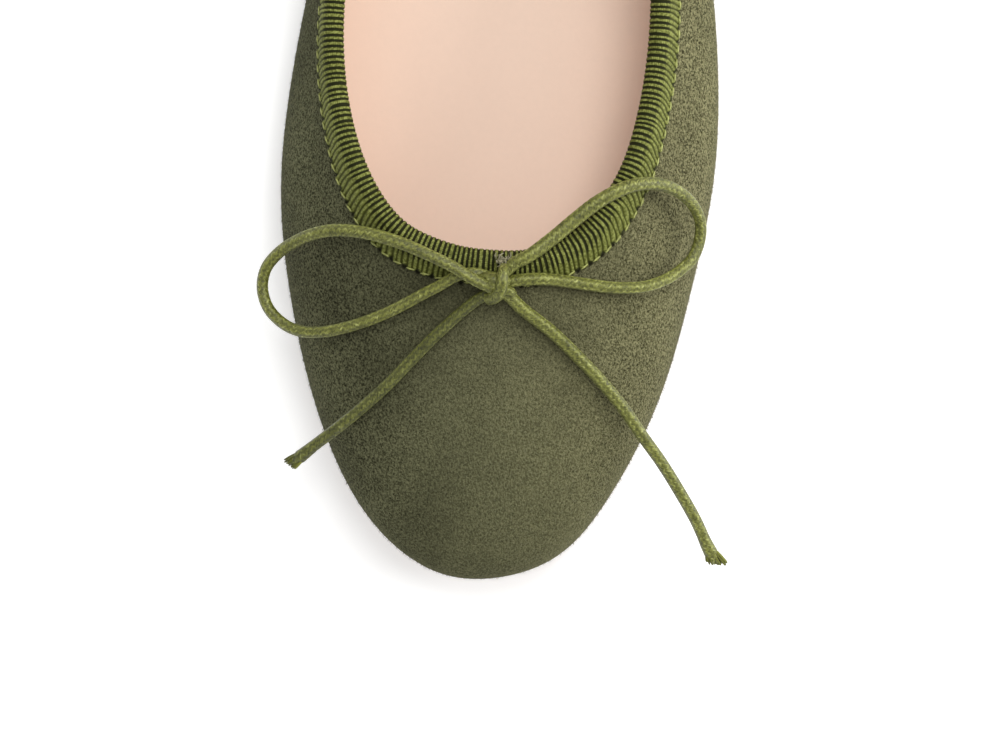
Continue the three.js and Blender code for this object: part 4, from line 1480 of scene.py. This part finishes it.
def make_stage():
    """Pale glowing floor, soft studio light from the outer side, and the view from straight above."""
    scene = bpy.context.scene
    scene.view_settings.view_transform = "Standard"
    world = bpy.data.worlds.new("studio")
    world.use_nodes = True
    backdrop = world.node_tree.nodes["Background"]
    backdrop.inputs["Color"].default_value = (1.0, 1.0, 1.0, 1.0)
    backdrop.inputs["Strength"].default_value = BACKDROP_STRENGTH
    scene.world = world

    mesh = bpy.data.meshes.new("floor")
    corners = [(x * FLOOR_REACH, y * FLOOR_REACH, 0) for x, y in ((-1, -1), (1, -1), (1, 1), (-1, 1))]
    mesh.from_pydata(corners, [], [(0, 1, 2, 3)])
    mesh.materials.append(floor_material())
    linked("floor", mesh)

    for light in STUDIO_LIGHTS:
        area_light(*light)

    data = bpy.data.cameras.new("photo_view")
    data.sensor_fit = "HORIZONTAL"
    data.sensor_width = 36
    data.lens = data.sensor_width * (CAMERA_HEIGHT - PHOTO_LEVEL) / PHOTO_WIDTH
    data.clip_end = 20
    scene.camera = linked("photo_view", data)
    scene.camera.location = (0.0, PHOTO_MIDDLE_Y, CAMERA_HEIGHT)
    bpy.context.view_layer.update()


# Sizes and colours that a user would change

def length_property(name, description, default):
    return bpy.props.FloatProperty(
        name=name, description=description, default=default, min=0.0, precision=5,
        unit="LENGTH", subtype="DISTANCE",
    )


def colour_property(name, description, default):
    return bpy.props.FloatVectorProperty(
        name=name, description=description, default=default, size=3, min=0.0, max=1.0, subtype="COLOR",
    )


class FlatSizes(bpy.types.PropertyGroup):
    """Sizes of the shoe's trimmings"""
    nap_length: length_property("Nap length", "Length of the suede's standing fibres", 0.00055)
    nap_density: bpy.props.FloatProperty(
        name="Nap density", description="Standing fibres to a square metre of suede", default=1.5e6, min=0.0,
    )
    rib_pitch: length_property("Rib pitch", "Distance from rib to rib of the ribbon", 0.00106)
    rib_height: length_property("Rib height", "Depth of the ribbon between its ribs", 0.00026)
    ribbon_swell: length_property("Ribbon swell", "How far the cord inside fills the ribbon out", 0.0006)
    stitch_pitch: length_property("Stitch pitch", "Distance from stitch to stitch", 0.00275)
    stitch_length: length_property("Stitch length", "Length of one stitch over the ribbon's edge", 0.0018)
    thread_diameter: length_property("Thread diameter", "Thickness of the sewing thread", 0.00036)
    braid_pitch: length_property("Braid pitch", "Length of one turn of the cord's braid", 0.0013)
    braid_height: length_property("Braid height", "Depth between the cord's strands", 0.00007)
    heel_lift: length_property("Heel lift", "Thickness of one layer of the stacked heel", 0.0026)


class FlatColours(bpy.types.PropertyGroup):
    """Colours of the shoe's materials"""
    suede: colour_property("Suede", "Olive suede of the upper", linear(80, 79, 57))
    ribbon: colour_property("Ribbon", "Ribs of the topline ribbon", linear(120, 125, 61))
    thread: colour_property("Thread", "Sewing thread along the ribbon", linear(156, 160, 90))
    cord: colour_property("Cord", "Waxed cord of the bow", linear(109, 112, 46))
    lining: colour_property("Lining", "Thin leather inside the upper", linear(224, 194, 170))
    insole: colour_property("Insole", "Pale leather of the insole", linear(232, 206, 188))
    sole: colour_property("Sole", "Leather of the outsole", linear(168, 126, 88))
    heel: colour_property("Heel", "Stacked leather of the heel", linear(104, 70, 46))
    rubber: colour_property("Heel rubber", "Rubber of the heel's top piece", linear(38, 36, 34))


# Operators, one for each piece or group of like pieces

class PieceMaker:
    """Makes the operator's piece from the scene's sizes and colours."""

    def execute(self, context):
        self.make(context.scene.flat_sizes, context.scene.flat_colours)
        return {"FINISHED"}


class FLAT_OT_stage(bpy.types.Operator):
    """Set up the floor, the soft light and the camera"""
    bl_idname = "flat.stage"
    bl_label = "Stage"

    def execute(self, context):
        make_stage()
        return {"FINISHED"}


class FLAT_OT_bow(PieceMaker, bpy.types.Operator):
    """Tie the drawcord's bow with its knot and frayed ends"""
    bl_idname = "flat.bow"
    bl_label = "Bow"
    make = staticmethod(make_bow)


class FLAT_OT_upper(PieceMaker, bpy.types.Operator):
    """Shape the suede upper"""
    bl_idname = "flat.upper"
    bl_label = "Upper"
    make = staticmethod(make_upper)


class FLAT_OT_nap(PieceMaker, bpy.types.Operator):
    """Raise the suede's fibres"""
    bl_idname = "flat.nap"
    bl_label = "Nap"
    make = staticmethod(make_nap)


class FLAT_OT_lining(PieceMaker, bpy.types.Operator):
    """Line the upper with thin leather"""
    bl_idname = "flat.lining"
    bl_label = "Lining"
    make = staticmethod(make_lining)


class FLAT_OT_binding(PieceMaker, bpy.types.Operator):
    """Fold the ribbed ribbon over the topline"""
    bl_idname = "flat.binding"
    bl_label = "Binding"
    make = staticmethod(make_binding)


class FLAT_OT_stitches(PieceMaker, bpy.types.Operator):
    """Sew the ribbon down along its edge"""
    bl_idname = "flat.stitches"
    bl_label = "Stitches"
    make = staticmethod(make_stitches)


class FLAT_OT_insole(PieceMaker, bpy.types.Operator):
    """Lay the insole"""
    bl_idname = "flat.insole"
    bl_label = "Insole"
    make = staticmethod(make_insole)


class FLAT_OT_outsole(PieceMaker, bpy.types.Operator):
    """Cut the outsole"""
    bl_idname = "flat.outsole"
    bl_label = "Outsole"
    make = staticmethod(make_outsole)


class FLAT_OT_heel(PieceMaker, bpy.types.Operator):
    """Stack the heel and set its rubber top piece"""
    bl_idname = "flat.heel"
    bl_label = "Heel"
    make = staticmethod(make_heel)


PIECES = (
    FLAT_OT_stage, FLAT_OT_bow, FLAT_OT_upper, FLAT_OT_nap, FLAT_OT_lining,
    FLAT_OT_binding, FLAT_OT_stitches, FLAT_OT_insole, FLAT_OT_outsole, FLAT_OT_heel,
)


class FLAT_PT_pieces(bpy.types.Panel):
    """Pieces, sizes and colours of the ballet flat"""
    bl_idname = "FLAT_PT_pieces"
    bl_label = "Ballet flat"
    bl_space_type = "VIEW_3D"
    bl_region_type = "UI"
    bl_category = "Ballet flat"

    def draw(self, context):
        for piece in PIECES:
            self.layout.operator(piece.bl_idname)
        for group in (context.scene.flat_sizes, context.scene.flat_colours):
            for key in group.bl_rna.properties.keys():
                if key not in ("rna_type", "name"):
                    self.layout.prop(group, key)


CLASSES = (FlatSizes, FlatColours, *PIECES, FLAT_PT_pieces)


def register():
    for cls in CLASSES:
        bpy.utils.register_class(cls)
    bpy.types.Scene.flat_sizes = bpy.props.PointerProperty(type=FlatSizes)
    bpy.types.Scene.flat_colours = bpy.props.PointerProperty(type=FlatColours)


def unregister():
    del bpy.types.Scene.flat_sizes
    del bpy.types.Scene.flat_colours
    for cls in reversed(CLASSES):
        bpy.utils.unregister_class(cls)


def main():
    register()
    bpy.ops.flat.stage()
    bpy.ops.flat.bow()
    bpy.ops.flat.upper()
    bpy.ops.flat.nap()
    bpy.ops.flat.lining()
    bpy.ops.flat.binding()
    bpy.ops.flat.stitches()
    bpy.ops.flat.insole()
    bpy.ops.flat.outsole()
    bpy.ops.flat.heel()


if __name__ == "__main__":
    main()
